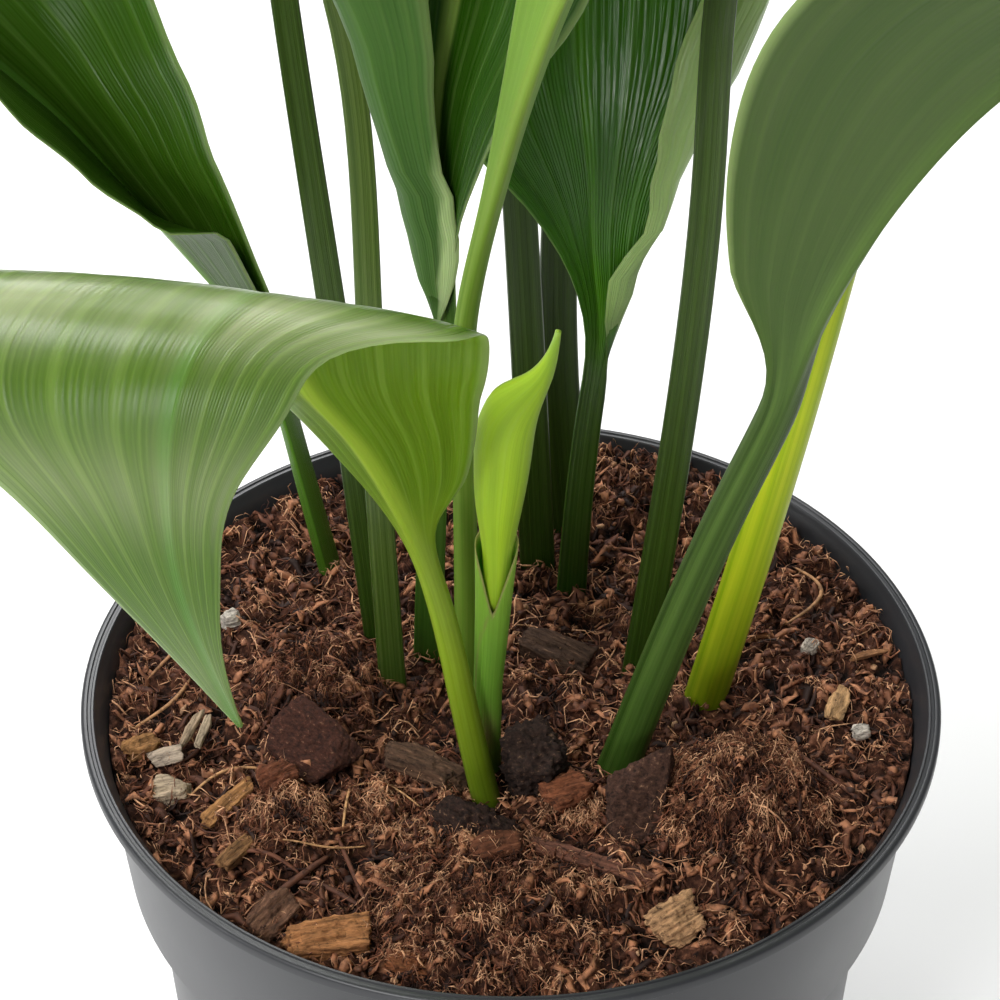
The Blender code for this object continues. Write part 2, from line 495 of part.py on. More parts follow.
def make_soil(home, cutters):
    """The potting mix: it fills the pot, with mounds above and plain holes for what stands in it."""
    gap = 1.3 * CLEARANCE
    wall = [(r - gap, z + gap) for r, z in pot_inside()[:3]]
    (low_radius, low), (high_radius, high) = pot_inside()[2:]
    lowest_edge = SOIL_TOP + BANK_RISE - BANK_LEAN
    edge = np.interp(lowest_edge, (low, high), (low_radius, high_radius)) - gap
    radii = (1, 0.97, 0.91, 0.84, 0.76, 0.67, 0.58, 0.48, 0.38, 0.26, 0.13)
    profile = [(0, wall[0][1]), (36, wall[0][1])] + wall + [(edge * r, POT_HEIGHT) for r in radii]
    profile.append((0, POT_HEIGHT))
    bm = bmesh.new()
    points = [bm.verts.new((r, 0, z)) for r, z in profile]
    edges = [bm.edges.new(pair) for pair in zip(points, points[1:])]
    bmesh.ops.spin(bm, geom=points + edges, cent=(0, 0, 0), axis=(0, 0, 1), angle=2 * math.pi,
                   steps=FACETS, use_merge=True)
    bmesh.ops.remove_doubles(bm, verts=bm.verts, dist=0.01)
    for vertex in bm.verts:
        if vertex.co.z > POT_HEIGHT - 0.01:
            vertex.co.z = ground(vertex.co.x, vertex.co.y)
    bmesh.ops.triangulate(bm, faces=bm.faces)
    bmesh.ops.recalc_face_normals(bm, faces=bm.faces)
    bmesh.ops.scale(bm, vec=(MM, MM, MM), verts=bm.verts)
    mesh = bpy.data.meshes.new("soil")
    bm.to_mesh(mesh)
    bm.free()
    shade_smooth(mesh)
    soil = add_object("soil", mesh, home, material("soil", SOIL_BROWN, 0.95))
    cut(soil, cutters)
    return soil


def round_rings(centres, radii, sides):
    """Upright rings, or rings square to a level axis, about the centres."""
    centres = np.asarray(centres, float)
    tangent = unit(np.gradient(centres, axis=0))
    across = unit(np.cross(tangent, (0.0, 0.0, 1.0)) + (0.0, 1e-6, 0.0))
    up = unit(np.cross(across, tangent))
    angle = 2 * np.pi * np.arange(sides) / sides
    return [c + r * (np.outer(np.cos(angle), a) + np.outer(np.sin(angle), b))
            for c, r, a, b in zip(centres, radii, across, up)]


def make_leaves(home, cutters):
    """Every leaf as one solid, and a plain hole in the soil around each petiole."""
    for name, leaf in LEAVES.items():
        rings, centre = leaf_rings(leaf, skewed=name == SKEWED)
        surface = material("leaf " + LEAF_GREENS.get(name, LEAF_GREEN), LEAF_GREENS.get(name, LEAF_GREEN), 0.4)
        wrap(name, rings, home, surface, top_columns=leaf.across - 1)
        outside = SHEATH_ROWS[0][3] if name == SHEATHED else 1.02 * leaf.petiole
        down, up = hole_ends(rings, centre)
        radius = (outside + CLEARANCE) / math.cos(math.pi / 12)
        as_cutter(wrap("hole_" + name, round_rings((down, up), (radius, radius), 12), cutters))


def hole_ends(rings, centre):
    """A petiole's line through the soil: from just under its foot to clear above the surface."""
    foot = centre[0]
    upper = centre[np.searchsorted(centre[:, 2], SOIL_TOP + 14)]
    direction = (upper - foot) / (upper[2] - foot[2])
    below = -min((rings[0] - foot) @ direction)
    return foot - (CLEARANCE + below) * direction, foot + (SOIL_TOP + 16 - FOOT) * direction


def make_sheath(home):
    """The papery sheath around the rolled leaf's stalk, notched where the blade comes out."""
    table = np.asarray(SHEATH_ROWS, float)
    notch = math.radians(SHEATH_NOTCH_HEADING)
    rings = []
    for angle in 2 * np.pi * np.arange(24) / 24:
        facing = math.acos(max(-1.0, math.cos(angle - notch)))
        top = table[-1, 2] - SHEATH_NOTCH * math.exp(-(facing / 0.8)**1.4)
        heights = np.linspace(FOOT, top, 5)
        ring = []
        for wall, places in ((0.0, heights), (SHEATH_WALL, heights[::-1])):
            for z in places:
                x, y, radius = (np.interp(z, table[:, 2], table[:, k]) for k in (0, 1, 3))
                ring.append((x + (radius - wall) * math.cos(angle), y + (radius - wall) * math.sin(angle), z))
        rings.append(ring)
    wrap("sprout_sheath", rings, home, material("sheath", SHEATH_GREEN, 0.6), closed=True)


def make_rootstocks(home, cutters):
    """The creeping rootstocks that the leaves rise from, each in a hollow of its own shape."""
    for name, rows in ROOTSTOCKS.items():
        table = np.asarray(rows, float)
        knots = arc_lengths(table[:, :3])
        places = np.concatenate((knots[:2], np.linspace(knots[1], knots[-2], 12)[1:-1], knots[-2:]))
        centres = spline(knots, table[:, :3], places)
        radii = np.interp(places, knots, table[:, 3])
        wrap(name, round_rings(centres, radii, 10), home, material("rootstock", ROOTSTOCK_CREAM, 0.7))
        ends = np.zeros((len(places), 3))
        ends[0], ends[-1] = centres[0] - centres[1], centres[-1] - centres[-2]
        ends *= 0.5 * CLEARANCE
        grown = (radii + CLEARANCE) / math.cos(math.pi / 10)
        as_cutter(wrap("hollow_" + name, round_rings(centres + ends, grown, 10), cutters))


def bark_shape(piece, grow=0.0):
    """A chipped block with rounded corners, grown outward by a clearance for its pocket."""
    bm = bmesh.new()
    bmesh.ops.create_icosphere(bm, subdivisions=2, radius=1.0)
    half = Vector((piece.length, piece.width, piece.thickness)) * 0.5
    for vertex in bm.verts:
        squared = Vector([math.copysign(abs(c)**0.55, c) for c in vertex.co])
        chipped = 1 + 0.14 * noise.noise(vertex.co * 1.7 + Vector((piece.seed * 7.3, 0, 0)))
        vertex.co = Vector([c * (h * chipped + grow) for c, h in zip(squared, half)])
    turn = (Matrix.Rotation(math.radians(piece.yaw), 4, "Z") @ Matrix.Rotation(math.radians(piece.tilt_y), 4, "Y")
            @ Matrix.Rotation(math.radians(piece.tilt_x), 4, "X"))
    bmesh.ops.transform(bm, matrix=Matrix.Translation((piece.x, piece.y, piece.z)) @ turn, verts=bm.verts)
    bmesh.ops.scale(bm, vec=(MM, MM, MM), verts=bm.verts)
    return bm


def make_bark(home, cutters):
    """Loose pieces of bark, cork and wood, each in a pocket of the soil."""
    for name, piece in BARK.items():
        for label, grow in ((name, 0.0), ("pocket_" + name, 1.6 * CLEARANCE)):
            bm = bark_shape(piece, grow)
            mesh = bpy.data.meshes.new(label)
            bm.to_mesh(mesh)
            bm.free()
            if grow:
                as_cutter(add_object(label, mesh, cutters))
            else:
                add_object(label, mesh, home, material("bark " + piece.colour, piece.colour, 0.9))


def main():
    clear_scene()
    plant = collection("potted cast iron plant")
    drains = collection("drain cutters")
    hollows = collection("soil cutters")
    make_pot(plant, drains)
    make_leaves(plant, hollows)
    make_sheath(plant)
    make_rootstocks(plant, hollows)
    make_bark(plant, hollows)
    make_soil(plant, hollows)


main()
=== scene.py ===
"""Looks of a potted cast iron plant (Aspidistra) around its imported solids.

The pot stands on Z = 0 with its axis on Z, and the side that is looked at is -Y.
Lengths in the tables are millimetres; everything is scaled to metres where a mesh is made.
"""

import math
from collections import namedtuple

import bmesh
import bpy
import numpy as np
from mathutils import Matrix, Vector, noise


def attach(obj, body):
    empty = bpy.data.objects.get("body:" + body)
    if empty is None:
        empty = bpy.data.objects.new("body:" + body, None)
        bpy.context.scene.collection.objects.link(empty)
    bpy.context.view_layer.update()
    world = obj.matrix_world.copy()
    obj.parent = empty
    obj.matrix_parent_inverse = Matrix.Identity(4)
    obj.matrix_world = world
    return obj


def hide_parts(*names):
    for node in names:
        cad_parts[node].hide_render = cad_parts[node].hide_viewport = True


bl_info = {
    "name": "Potted cast iron plant",
    "version": (1, 0, 0),
    "blender": (4, 5, 0),
    "location": "View3D > Sidebar > Plant",
    "description": "Builds a cast iron plant in its nursery pot, with its soil and stage",
    "category": "Add Mesh",
}

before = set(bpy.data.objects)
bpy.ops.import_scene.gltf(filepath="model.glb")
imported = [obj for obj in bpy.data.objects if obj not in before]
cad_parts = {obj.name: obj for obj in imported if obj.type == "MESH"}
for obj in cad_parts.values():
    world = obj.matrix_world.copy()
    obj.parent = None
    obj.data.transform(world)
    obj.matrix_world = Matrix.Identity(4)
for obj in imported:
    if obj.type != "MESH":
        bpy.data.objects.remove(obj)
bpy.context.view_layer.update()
MM = 0.001
BODY = "root"

# The pot, from the middle of its base
RIM_RADIUS = 95.0
POT_HEIGHT = 150.0
FLANGE_WIDTH = 2.9
LIP_HEIGHT = 2.8
BAND_DEPTH = 43.0
BAND_TOP_RADIUS = 91.0
BAND_FOOT_RADIUS = 87.7
LOWER_TOP_RADIUS = 82.5
BASE_RADIUS = 76.0
POT_WALL = 1.2
CHANNEL_RISE = 3.0
DISC_RADIUS = 27.0
CHANNEL_OUTER_RADIUS = 60.0
FLOOR_TOP = 5.0
DRAIN_HOLES = 8
DRAIN_RADIUS = 4.5
DRAIN_CIRCLE = 44.0
DRAIN_SIDES = 24
SHARP_CORNER = 38.0

# The soil's surface
SOIL_TOP = 141.0
BANK_RISE = 3.5
BANK_LEAN = 1.8
BANK_START = 50.0
BANK_WIDTH = 39.0
SOIL_RADIUS = 89.2
SOIL_SINK = 0.7
# Painted shade in the hollows: its darkest share, and its growth for each mm that the surface sinks.
DARKEST_HOLLOW_SHADE = 0.95
HOLLOW_SHADE_PER_MM = 0.8
WALL_GAP = 0.4
COARSE_CLUMP = 2.4
FINE_CLUMP = 2.0
FIBRE_REACH = 89.1
SCATTER_RADIUS = 88
CRUMB_SCATTER_RADIUS = 87
Mound = namedtuple("Mound", "x y radius height")
MOUNDS = (
    Mound(49, -33, 17, 12),
    Mound(-5, -64, 21, 8),
    Mound(-48, -38, 10, 6),
    Mound(-46, 6, 16, 7),
    Mound(8, 2, 10, 4),
    Mound(34, 72, 17, 6),
    Mound(64, 14, 15, 3),
    Mound(-68, 22, 13, 3),
    Mound(24, -52, 9, 3),
    Mound(-4, -28, 7, -3),
)

# Leaves.  Bends of a half blade: place along the blade, rise of the half at the midrib and curl across
# it in degrees, then where across the half the curl begins and ends if it doesn't take all of it.
Leaf = namedtuple("Leaf", "petiole blade_row blend thickness wave plus minus rows")
BLADE_HALF_WIDTHS = ((0, 0), (0.05, 0.18), (0.12, 0.48), (0.2, 0.75), (0.3, 0.93), (0.42, 1), (0.6, 0.95),
                     (0.76, 0.74), (0.88, 0.44), (0.96, 0.17), (1, 0.02))
# A plain leaf's bends, and its waves: their height, how many there are and their phase.
OPEN = ((0, 30, 40), (0.15, 30, 0), (0.5, 15, -5), (1, 10, 0))
SLIGHT = (0.5, 5, 0.4)


def upright(petiole, blade_row, width, rows):
    """A plain leaf: its rows hold x, y, z and the heading of the blade's plus side."""
    full = [row + (0, width, width) for row in rows]
    return Leaf(petiole, blade_row, 0.16, 1.0, SLIGHT, OPEN, OPEN, full)


# Rows from foot to tip: x, y, z, the plus side's heading and rise in degrees, then the half widths.
LEAVES = {
    "leaf_front_drooping": Leaf(
        3.3, 2.3, 0.16, 1.0, (0.0, 3, 0.0),
        ((0, 25, 20), (0.1, 35, 10), (0.22, 35, 5), (0.42, 5, -5), (0.6, 0, -10), (1, 0, 0)),
        ((0, 30, 10), (0.12, 5, 0), (0.3, 0, 0), (0.42, 5, -22, 0.5, 1), (0.55, -5, -5), (1, 0, 0)),
        ((-4, -25.5, 130, 180, 0, 3, 3), (-10.5, -25.5, 169, 180, 0, 3, 3),
         (-14, -25, 190, 180, 0, 2.6, 2.6), (-18, -24, 206, 180, 0, 4.5, 4.5),
         (-24, -28, 225, 180, 0, 13, 14), (-31, -36, 246, 180, 0, 25, 24), (-38, -44, 263, 179, 1, 36, 32),
         (-41, -54, 282, 177, 2, 45, 37), (-43, -66, 301, 175, 3, 50, 37), (-47, -75, 306, 175, 3, 51, 34),
         (-53, -82, 303, 175, 2, 51, 24), (-58, -87, 292, 176, 0, 48, 20), (-60, -88, 275, 176, 0, 32, 12),
         (-60, -86, 255, 174, 0, 18, 8), (-57, -81, 232, 172, 0, 8, 3.6),
         (-52, -75, 207, 170, 0, 0.5, 0.5))),
    "leaf_left_arching": Leaf(
        3.1, 1.5, 0.08, 1.0, SLIGHT,
        ((0, 60, 20), (0.08, 75, 0), (0.17, 68, 0), (0.22, 60, 0), (0.27, 50, 0), (0.45, 22, 0),
         (1, 10, 0)),
        ((0, 60, 20), (0.08, 94, 0), (0.13, 94, 0), (0.17, 69, 0), (0.22, 60, 0), (0.28, 54, 0),
         (0.36, 44, 0), (0.5, 20, 0), (1, 10, 0)),
        ((-40, 47, 130, 60, 0, 3, 3), (-49, 52, 175, 60, 0, 3, 3), (-57, 54, 204, 55, 25, 9, 9),
         (-68, 54, 222, 53, 27, 18, 18), (-79, 54, 238, 53, 27, 25, 25), (-86, 54, 248, 53, 27, 29, 25),
         (-96, 54, 262, 55, 26, 34, 26), (-107, 54, 274, 62, 22, 40, 32), (-150, 54, 318, 80, 10, 44, 42),
         (-200, 50, 346, 92, 2, 42, 42), (-255, 40, 360, 98, 0, 31, 31), (-305, 30, 355, 100, 0, 15, 15),
         (-340, 22, 343, 100, 0, 0.5, 0.5))),
    "leaf_back_left": upright(3.4, 2.9, 42, (
        (-29, 22, 130, 0), (-39, 37, 229, 0), (-47, 56, 290, 0), (-58, 72, 360, 10), (-100, 98, 445, 30),
        (-155, 128, 520, 45), (-215, 155, 560, 55), (-270, 180, 560, 58))),
    "leaf_left_tall": upright(3.1, 3.5, 43, (
        (-26, 7, 130, 0), (-30, 24, 236, 0), (-35.5, 42, 298, 10), (-49.5, 46, 340, 30), (-72, 44, 400, 75),
        (-112, 32, 480, 100), (-162, 8, 555, 110), (-214, -20, 596, 114), (-264, -48, 596, 120))),
    "leaf_centre_curled": Leaf(
        3.5, 1.3, 0.05, 1.0, SLIGHT,
        ((0, 20, 80), (0.04, 40, 30), (0.115, 45, 20), (0.17, 50, 0), (0.35, 25, 0), (1, 10, 0)),
        ((0, 10, 140, 0.1, 0.9), (0.03, 0, 172, 0.22, 0.58), (0.06, 0, 174, 0.2, 0.555),
         (0.085, 0, 174, 0.235, 0.6), (0.102, 0, 174, 0.29, 0.68), (0.13, 0, 175, 0.345, 0.685),
         (0.165, 0, 175, 0.41, 0.685), (0.33, 5, 110, 0.42, 0.8), (0.5, 15, 0), (1, 10, 0)),
        ((-19, 18, 130, 0, 0, 3, 3), (-15, 19, 219, 0, 0, 3, 5), (-14, 20, 236, 0, 0, 4, 11),
         (-15, 21, 258, 0, 0, 7, 19.5), (-15, 22, 274, 0, 0, 14, 25), (-14, 25, 289, 0, 0, 23, 35.5),
         (-11, 31, 304, 0, 0, 34, 52.5), (-15, 52, 380, 0, 0, 42, 60), (-32, 88, 470, 5, 0, 42, 46),
         (-56, 130, 555, 12, 0, 33, 33), (-84, 182, 615, 20, 0, 17, 17),
         (-110, 235, 635, 24, 0, 0.5, 0.5))),
    "leaf_centre_young": Leaf(
        2.8, 2.2, 0.1, 1.0, (0.0, 3, 0.0),
        ((0, 50, 20), (0.12, 64, 5), (0.25, 68, 0), (0.5, 20, -5), (1, 10, 0)),
        ((0, 50, 20), (0.12, 64, 5), (0.25, 68, 0), (0.5, 20, -5), (1, 10, 0)),
        ((-10, 7, 130, 180, 0, 3, 3), (-10, 0, 215, 180, 0, 3, 3), (-9, -3, 252, 180, 0, 3, 3),
         (-4, -6, 279, 180, 0, 5, 5), (2, -10, 305, 180, 0, 9, 9), (9, -15, 330, 180, 0, 16, 16),
         (34, -30, 385, 182, 0, 33, 33), (58, -58, 465, 188, 0, 42, 42), (90, -105, 535, 195, 0, 36, 36),
         (122, -158, 575, 200, 0, 18, 18), (150, -208, 582, 205, 0, 0.5, 0.5))),
    "leaf_centre_folded": Leaf(
        3.6, 1.1, 0.06, 1.0, (0.6, 4, 0.4),
        ((0, 10, 150, 0.2, 0.8), (0.04, 0, 168, 0.34, 0.7), (0.06, 0, 168, 0.4, 0.72),
         (0.09, 0, 165, 0.64, 0.87), (0.112, 0, 165, 0.58, 0.83), (0.135, 0, 165, 0.54, 0.79),
         (0.16, 0, 165, 0.55, 0.77), (0.2, 0, 165, 0.6, 0.8), (0.4, 10, 60, 0.5, 1), (0.6, 15, 0),
         (1, 10, 0)),
        ((0, 30, 20), (0.06, 10, 0), (0.15, 5, -5), (0.3, 5, -10), (0.5, 15, 0), (1, 10, 0)),
        ((14, 42, 130, 0, 0, 3.5, 3.5), (18, 45, 193, 0, 0, 3.5, 3.5), (19.5, 46, 212, 0, 0, 11, 3.7),
         (17.5, 47, 235, 0, 0, 20, 8), (17, 49, 250, 0, 0, 27.5, 18), (15, 53, 270, 0, 0, 50, 31),
         (14, 58, 289, 0, 0, 60, 41), (22, 78, 390, 0, 0, 54, 45), (42, 98, 480, -5, 0, 45, 43),
         (66, 132, 560, -12, 0, 33, 33), (94, 178, 612, -18, 0, 17, 17),
         (122, 228, 630, -20, 0, 0.5, 0.5))),
    "leaf_back_centre": upright(4.2, 2.9, 42, (
        (7, 50, 130, 0), (3, 61, 216, 0), (0, 71, 267, 0), (-4, 92, 350, 0), (-8, 128, 440, 5),
        (-16, 182, 525, 6), (-26, 250, 590, 8), (-36, 318, 612, 8))),
    "leaf_back_right": upright(4.6, 2.9, 40, (
        (16, 61, 130, 0), (11, 74, 207, 0), (13, 85, 251, 0), (27, 106, 350, -5), (52, 146, 440, -20),
        (88, 200, 515, -28), (128, 256, 560, -32), (164, 304, 566, -34))),
    "leaf_right_tall": upright(3.8, 3.8, 43, (
        (28, 14, 130, 0), (36, 17, 209, 0), (40, 22, 275, 0), (41, 28, 306, 0), (56, 38, 380, -10),
        (88, 58, 475, -25), (136, 86, 560, -45), (196, 116, 610, -58), (255, 142, 612, -62))),
    "leaf_right_broad": Leaf(
        4.8, 2.0, 0.1, 1.0, (2.5, 3, 0.5),
        ((0, 10, 10), (0.1, 5, 0), (0.25, 5, -5), (0.5, 5, -10), (1, 10, 0)),
        ((0, 50, 40), (0.1, 68, 5), (0.35, 64, 0), (0.6, 25, -5), (1, 10, 0)),
        ((21, -17, 130, 180, 0, 4, 4), (45, -27, 226, 180, 0, 4, 4), (51, -32, 249, 180, 0, 7, 5),
         (56, -37, 271, 180, 0, 15, 12), (62, -42, 291, 180, 0, 25, 18), (72, -50, 317, 180, 0, 37, 28),
         (82, -57, 336, 183, 0, 45, 36), (125, -78, 378, 193, 0, 48, 46), (175, -102, 408, 212, 0, 44, 44),
         (230, -130, 420, 228, 0, 28, 28), (280, -155, 410, 236, 0, 0.5, 0.5))),
    "leaf_right_low": upright(4.9, 2.8, 40, (
        (42, 6, 130, 180), (61, 2, 237, 182), (73, 8, 295, 192), (97, 12, 362, 218), (142, 16, 432, 244),
        (205, 22, 478, 262), (270, 28, 488, 268), (330, 32, 465, 270))),
    "sprout_rolled_leaf": Leaf(
        2.1, 2.0, 0.14, 0.7, (0.0, 3, 0.0),
        ((0, 0, 150), (0.3, 0, 215), (0.7, 0, 215), (1, 0, 120)),
        ((0, 0, 150), (0.3, 0, 230), (0.7, 0, 230), (1, 0, 120)),
        ((-5, -16.5, 130, 270, 0, 2, 2), (-5, -17.1, 155, 270, 0, 2, 2), (-4, -17.8, 179, 270, 0, 2, 2),
         (-1.5, -18.3, 191, 270, 0, 7.5, 4.5), (-0.4, -18.7, 203, 270, 0, 10.3, 5.5),
         (1.3, -19, 214, 270, 0, 16, 8), (3.4, -19.5, 229, 270, 0, 20.5, 9),
         (4.9, -19.5, 240, 270, 0, 18.5, 8), (7.5, -19.5, 249, 270, 0, 7.5, 4),
         (8.9, -20, 260, 270, 0, 0.6, 0.6))),
}
# Leaves that the photograph shows only as stalks have fewer rings and fewer points across.
PLAIN_STATIONS_LESS = 30
PLAIN_POINTS_LESS = 8

# A leaf's shape: how finely its path is measured and the share of its rings that the stalk takes.
PATH_SAMPLES = 1500
TANGENT_STEP = 0.2
STALK_STATIONS = 0.28
# How the stalk thins over its length and into the blade, and the ridges round it.
STALK_TAPER = 0.18
BLADE_TAPER = 0.35
LEAST_TAPER = 0.45
STALK_RIDGE = 0.012
STALK_RIDGES = 7
# Across a blade: its samples, its least half width, its pleats, and its rib's depth and groove.
HALF_BLADE_SAMPLES = 129
LEAST_HALF_WIDTH = 0.4
FULL_PLEAT_WIDTH = 20
COARSE_PLEATS = 26
FINE_PLEATS = 61
RIB_DEPTH = 0.35
RIB_GROOVE = 0.3
RIB_REACH_ABOVE = 1.1
RIB_REACH_BELOW = 2.2
MARGIN_WIDTH = 0.5
# A blade's UVs run 1 for every 100 mm of its length.
UV_PER_MM = 0.01
# Fields that a leaf's material reads; the pale field paints a sliver of light, the last one a whitish sheen.
LEAF_FIELDS = ("upper", "stalk", "midrib", "margin", "pale", "bloom")
SKEWED = "leaf_front_drooping"
# The sheath's axis from foot to top, x, y, z, and its outer radius there.
SHEATH_ROWS = ((-5, -16.5, 130, 3), (-5.1, -17, 150, 2.9), (-5, -17.4, 165, 3.1), (-4.3, -17.8, 178, 3.5),
               (-3.7, -18.2, 191, 3.9), (-3, -19, 207, 4.6))
SHEATH_WALL = 0.5
SHEATH_NOTCH = 18.0
SHEATH_NOTCH_HEADING = 268.0
SHEATH_NOTCH_SPREAD = 0.8
SHEATH_SEAM_TURN = 60.0
SHEATH_SEAM_LENGTH = 36
SHEATH_FIELDS = ("high", "low", "dry")
SHEATH_STEPS = 72
SHEATH_RINGS = 26

# A leaf's colours are those of the blade's face, its shaded parts and its underside, the dark and light
# strips of its stalk, its midrib and its veins.  The numbers are the face's roughness, its gloss and how
# strongly it is pleated.
Look = namedtuple("Look", "face shade underside stalk stalk_light midrib vein roughness gloss pleat")
PLAIN_LOOK = ("2E580C 183606 5C7834 2A3E0C 465E22 5E8A2E 7C9450", 0.24, 0.3, 0.4)
LOOKS = {
    "leaf_front_drooping": ("426204 244002 5E8008 768E14 98B434 48741A 90B04C", 0.25, 0.3, 0.2),
    "leaf_left_arching": ("305208 1F3C05 2E4616 4A7418 5E862C 45701C 6E9040", 0.26, 0.35, 0.5),
    "leaf_left_tall": ("2E580C 183606 5C7834 3C5416 6A7E3C 5E8A2E 7C9450", 0.18, 0.4, 0.4),
    "leaf_centre_curled": ("234806 153204 4A6E32 3E641E 587A30 7C9844 6C8A44", 0.24, 0.22, 0.35),
    "leaf_centre_young": ("5E8626 4C701A 729638 628420 809C3C 809C44 88A24C", 0.45, 0.25, 0.2),
    "leaf_centre_folded": ("3A7008 1C4004 94B068 2E4C10 526E2E 4C8410 6E9448", 0.17, 0.4, 1.0),
    "leaf_right_broad": ("2E560C 22440A 45592A 28400C 546E2E 7C9450 5A7038", 0.34, 0.25, 0.3),
    "leaf_right_low": ("6C9810 2C5000 98B420 8CA80A C8D028 B4C82A B0C840", 0.30, 0.3, 0.2),
    "sprout_rolled_leaf": ("78A01E 567E16 A4C626 70921E 88AA34 A4C034 A8C850", 0.40, 0.3, 0.2),
}
# How far red, green and blue light spread in green flesh, as shares of its scale.
FLESH_SPREAD = (0.4, 1.0, 0.15)
# Streaks, bands and strips of a leaf: their stretch across and along it, their scale and detail.
LEAF_GRAIN = (((70.0, 1.6, 1.0), 1.2, 3.0), ((12.0, 0.9, 1.0), 1.4, 2.0), ((5.0, 0.3, 1.0), 1.5, 3.0))
MARGIN_GREEN = "A4B876"
# The whitish colour of the painted sheen.
PAINTED_SHEEN_WHITE = "D0D4AC"
# Zones of painted sheen, whitish in the colour of a blade's face: place along it, reach and strength.
PAINTED_SHEEN_ZONES = {"leaf_front_drooping": ((0.555, 0.04, 0.5), (0.71, 0.05, 0.22), (0.93, 0.06, 0.12))}
# Painted light: a sliver of the curled leaf's minus half is painted paler, where it turns to the light.
PAINTED_LIGHT_LEAF = "leaf_centre_curled"
PAINTED_LIGHT_GREEN = "B2C98A"
# Where the sliver of painted light starts across the minus half, at places along the blade.
PAINTED_LIGHT_START = ((0.04, 0.07, 0.09, 0.112), (0.7, 0.8, 0.87, 1.0))

# Pieces of bark, cork and wood: place of the middle, size, turns about X, Y and Z in degrees.
Piece = namedtuple("Piece", "x y z length width thickness tilt_x tilt_y yaw colour seed slot rough")
BARK = {
    "bark_red": Piece(-44, -15, 146.0, 20, 14, 4.5, 28, 8, -38, "4C2A1E", 1, "bark", 0.8),
    "bark_stick": Piece(-19.5, -20.5, 144.0, 17, 7, 5, 12, 6, -24, "654A38", 2, "bark", 1.0),
    "bark_dark_front": Piece(-8, -39, 143.0, 18, 9, 8, 15, 8, -24, "3C2820", 3, "bark", 1.7),
    "bark_dark_round": Piece(5, -23, 146.5, 11, 13, 19, 10, 0, 15, "3C2A22", 4, "bark", 1.8),
    "bark_slab": Piece(27, -35.5, 146.5, 13, 18, 4, 52, 6, 8, "563A2E", 5, "bark", 1.0),
    "bark_back": Piece(10, 17.5, 143.2, 16, 8, 4, 22, 8, -28, "5C4436", 6, "bark", 0.7),
    "cork_left": Piece(-37.3, -71.5, 144.0, 17, 9, 6, 10, 0, 8, "BC8050", 7, "cork", 1.1),
    "cork_front": Piece(-20.5, -78.5, 143.6, 10, 6, 5, 10, 5, -8, "9C603C", 8, "cork", 1.3),
    "cork_right": Piece(34, -67, 144.0, 10, 9, 4.5, 25, 0, 38, "D0A074", 9, "cork", 1.3),
    "bark_left_rim": Piece(-49.5, -64, 143.2, 13, 8, 4, 18, 0, 58, "7A5642", 10, "bark", 1.2),
    "wood_chip_pale": Piece(-74, -28, 143.2, 9, 5.5, 4.5, 10, 0, 12, "CBB498", 11, "wood_chip", 0.7),
    "wood_sliver_left": Piece(-61, -32, 143.2, 14, 4, 3, 10, -6, 48, "B5814F", 12, "wood_chip", 0.8),
    "wood_sliver_right": Piece(73, -1, 144.4, 12, 4, 2.6, 10, 6, 72, "D1A473", 13, "wood_chip", 0.7),
    "twig_front": Piece(17, -50.5, 144.6, 27, 3.4, 2.6, 8, 0, -24, "7C5140", 14, "bark", 0.6),
}
# Pieces of inner bark that break into crumbs, without open layers.
CRUMBLY = ("bark_red", "bark_dark_front", "bark_dark_round", "bark_slab")
# How a noise runs along the grain against across it: in open layers, and in crumbly bark.
LAYERED_RUN = 0.15
CRUMBLY_RUN = 0.8
BARK_CUTS = 5
CHIP_CUTS = 4
BREAKS = 18
# Small pieces that lie loose on the mix and stand for no solid of their own.
CHIPS = {
    "sliver_front_left": Piece(-58, -47.5, 145.0, 11, 4, 2.6, 10, 8, 58, "9C7048", 21, "wood_chip", 1.0),
    "stick_right": Piece(81, 13.5, 146.0, 9.5, 1.6, 1.4, 0, 6, 24, "A87650", 22, "wood_chip", 0.5),
    "lump_tan": Piece(-81, -16, 145.2, 7, 5, 4, 10, 0, 30, "A9794A", 23, "cork", 1.2),
    "flake_pale": Piece(-75, -19, 145.4, 7, 4.5, 1.3, 18, -6, 15, "BFAB97", 24, "wood_chip", 0.8),
    "hull_left": Piece(-70.5, -11.5, 146.3, 9.5, 2, 1.3, 0, -14, 68, "B39B80", 25, "wood_chip", 0.5),
    "hull_right": Piece(-67.6, -12, 146.3, 9, 2, 1.3, 0, -12, 74, "C2AC90", 26, "wood_chip", 0.5),
    "perlite_left": Piece(-64, 24, 147.4, 4, 3.6, 3.6, 0, 0, 20, "DDD2C4", 27, "potting_mix", 0.8),
    "perlite_back": Piece(68, 15, 147.0, 3.6, 3.4, 3.2, 0, 0, 50, "D6C8B8", 28, "potting_mix", 0.8),
    "perlite_right": Piece(77, -12, 146.0, 3.6, 3.4, 3.2, 0, 0, 0, "DDD2C4", 29, "potting_mix", 0.8),
    "chip_front": Piece(-3, -49, 148.5, 11, 6, 2.4, 14, 4, 20, "7E4C34", 30, "bark", 1.2),
    "chip_middle": Piece(12, -31, 146.5, 9, 7, 5, 20, 0, 20, "94583A", 31, "cork", 1.8),
    "chip_left": Piece(-50, -27, 146.5, 8, 6, 5, 0, 0, 40, "7C4830", 32, "cork", 1.8),
}

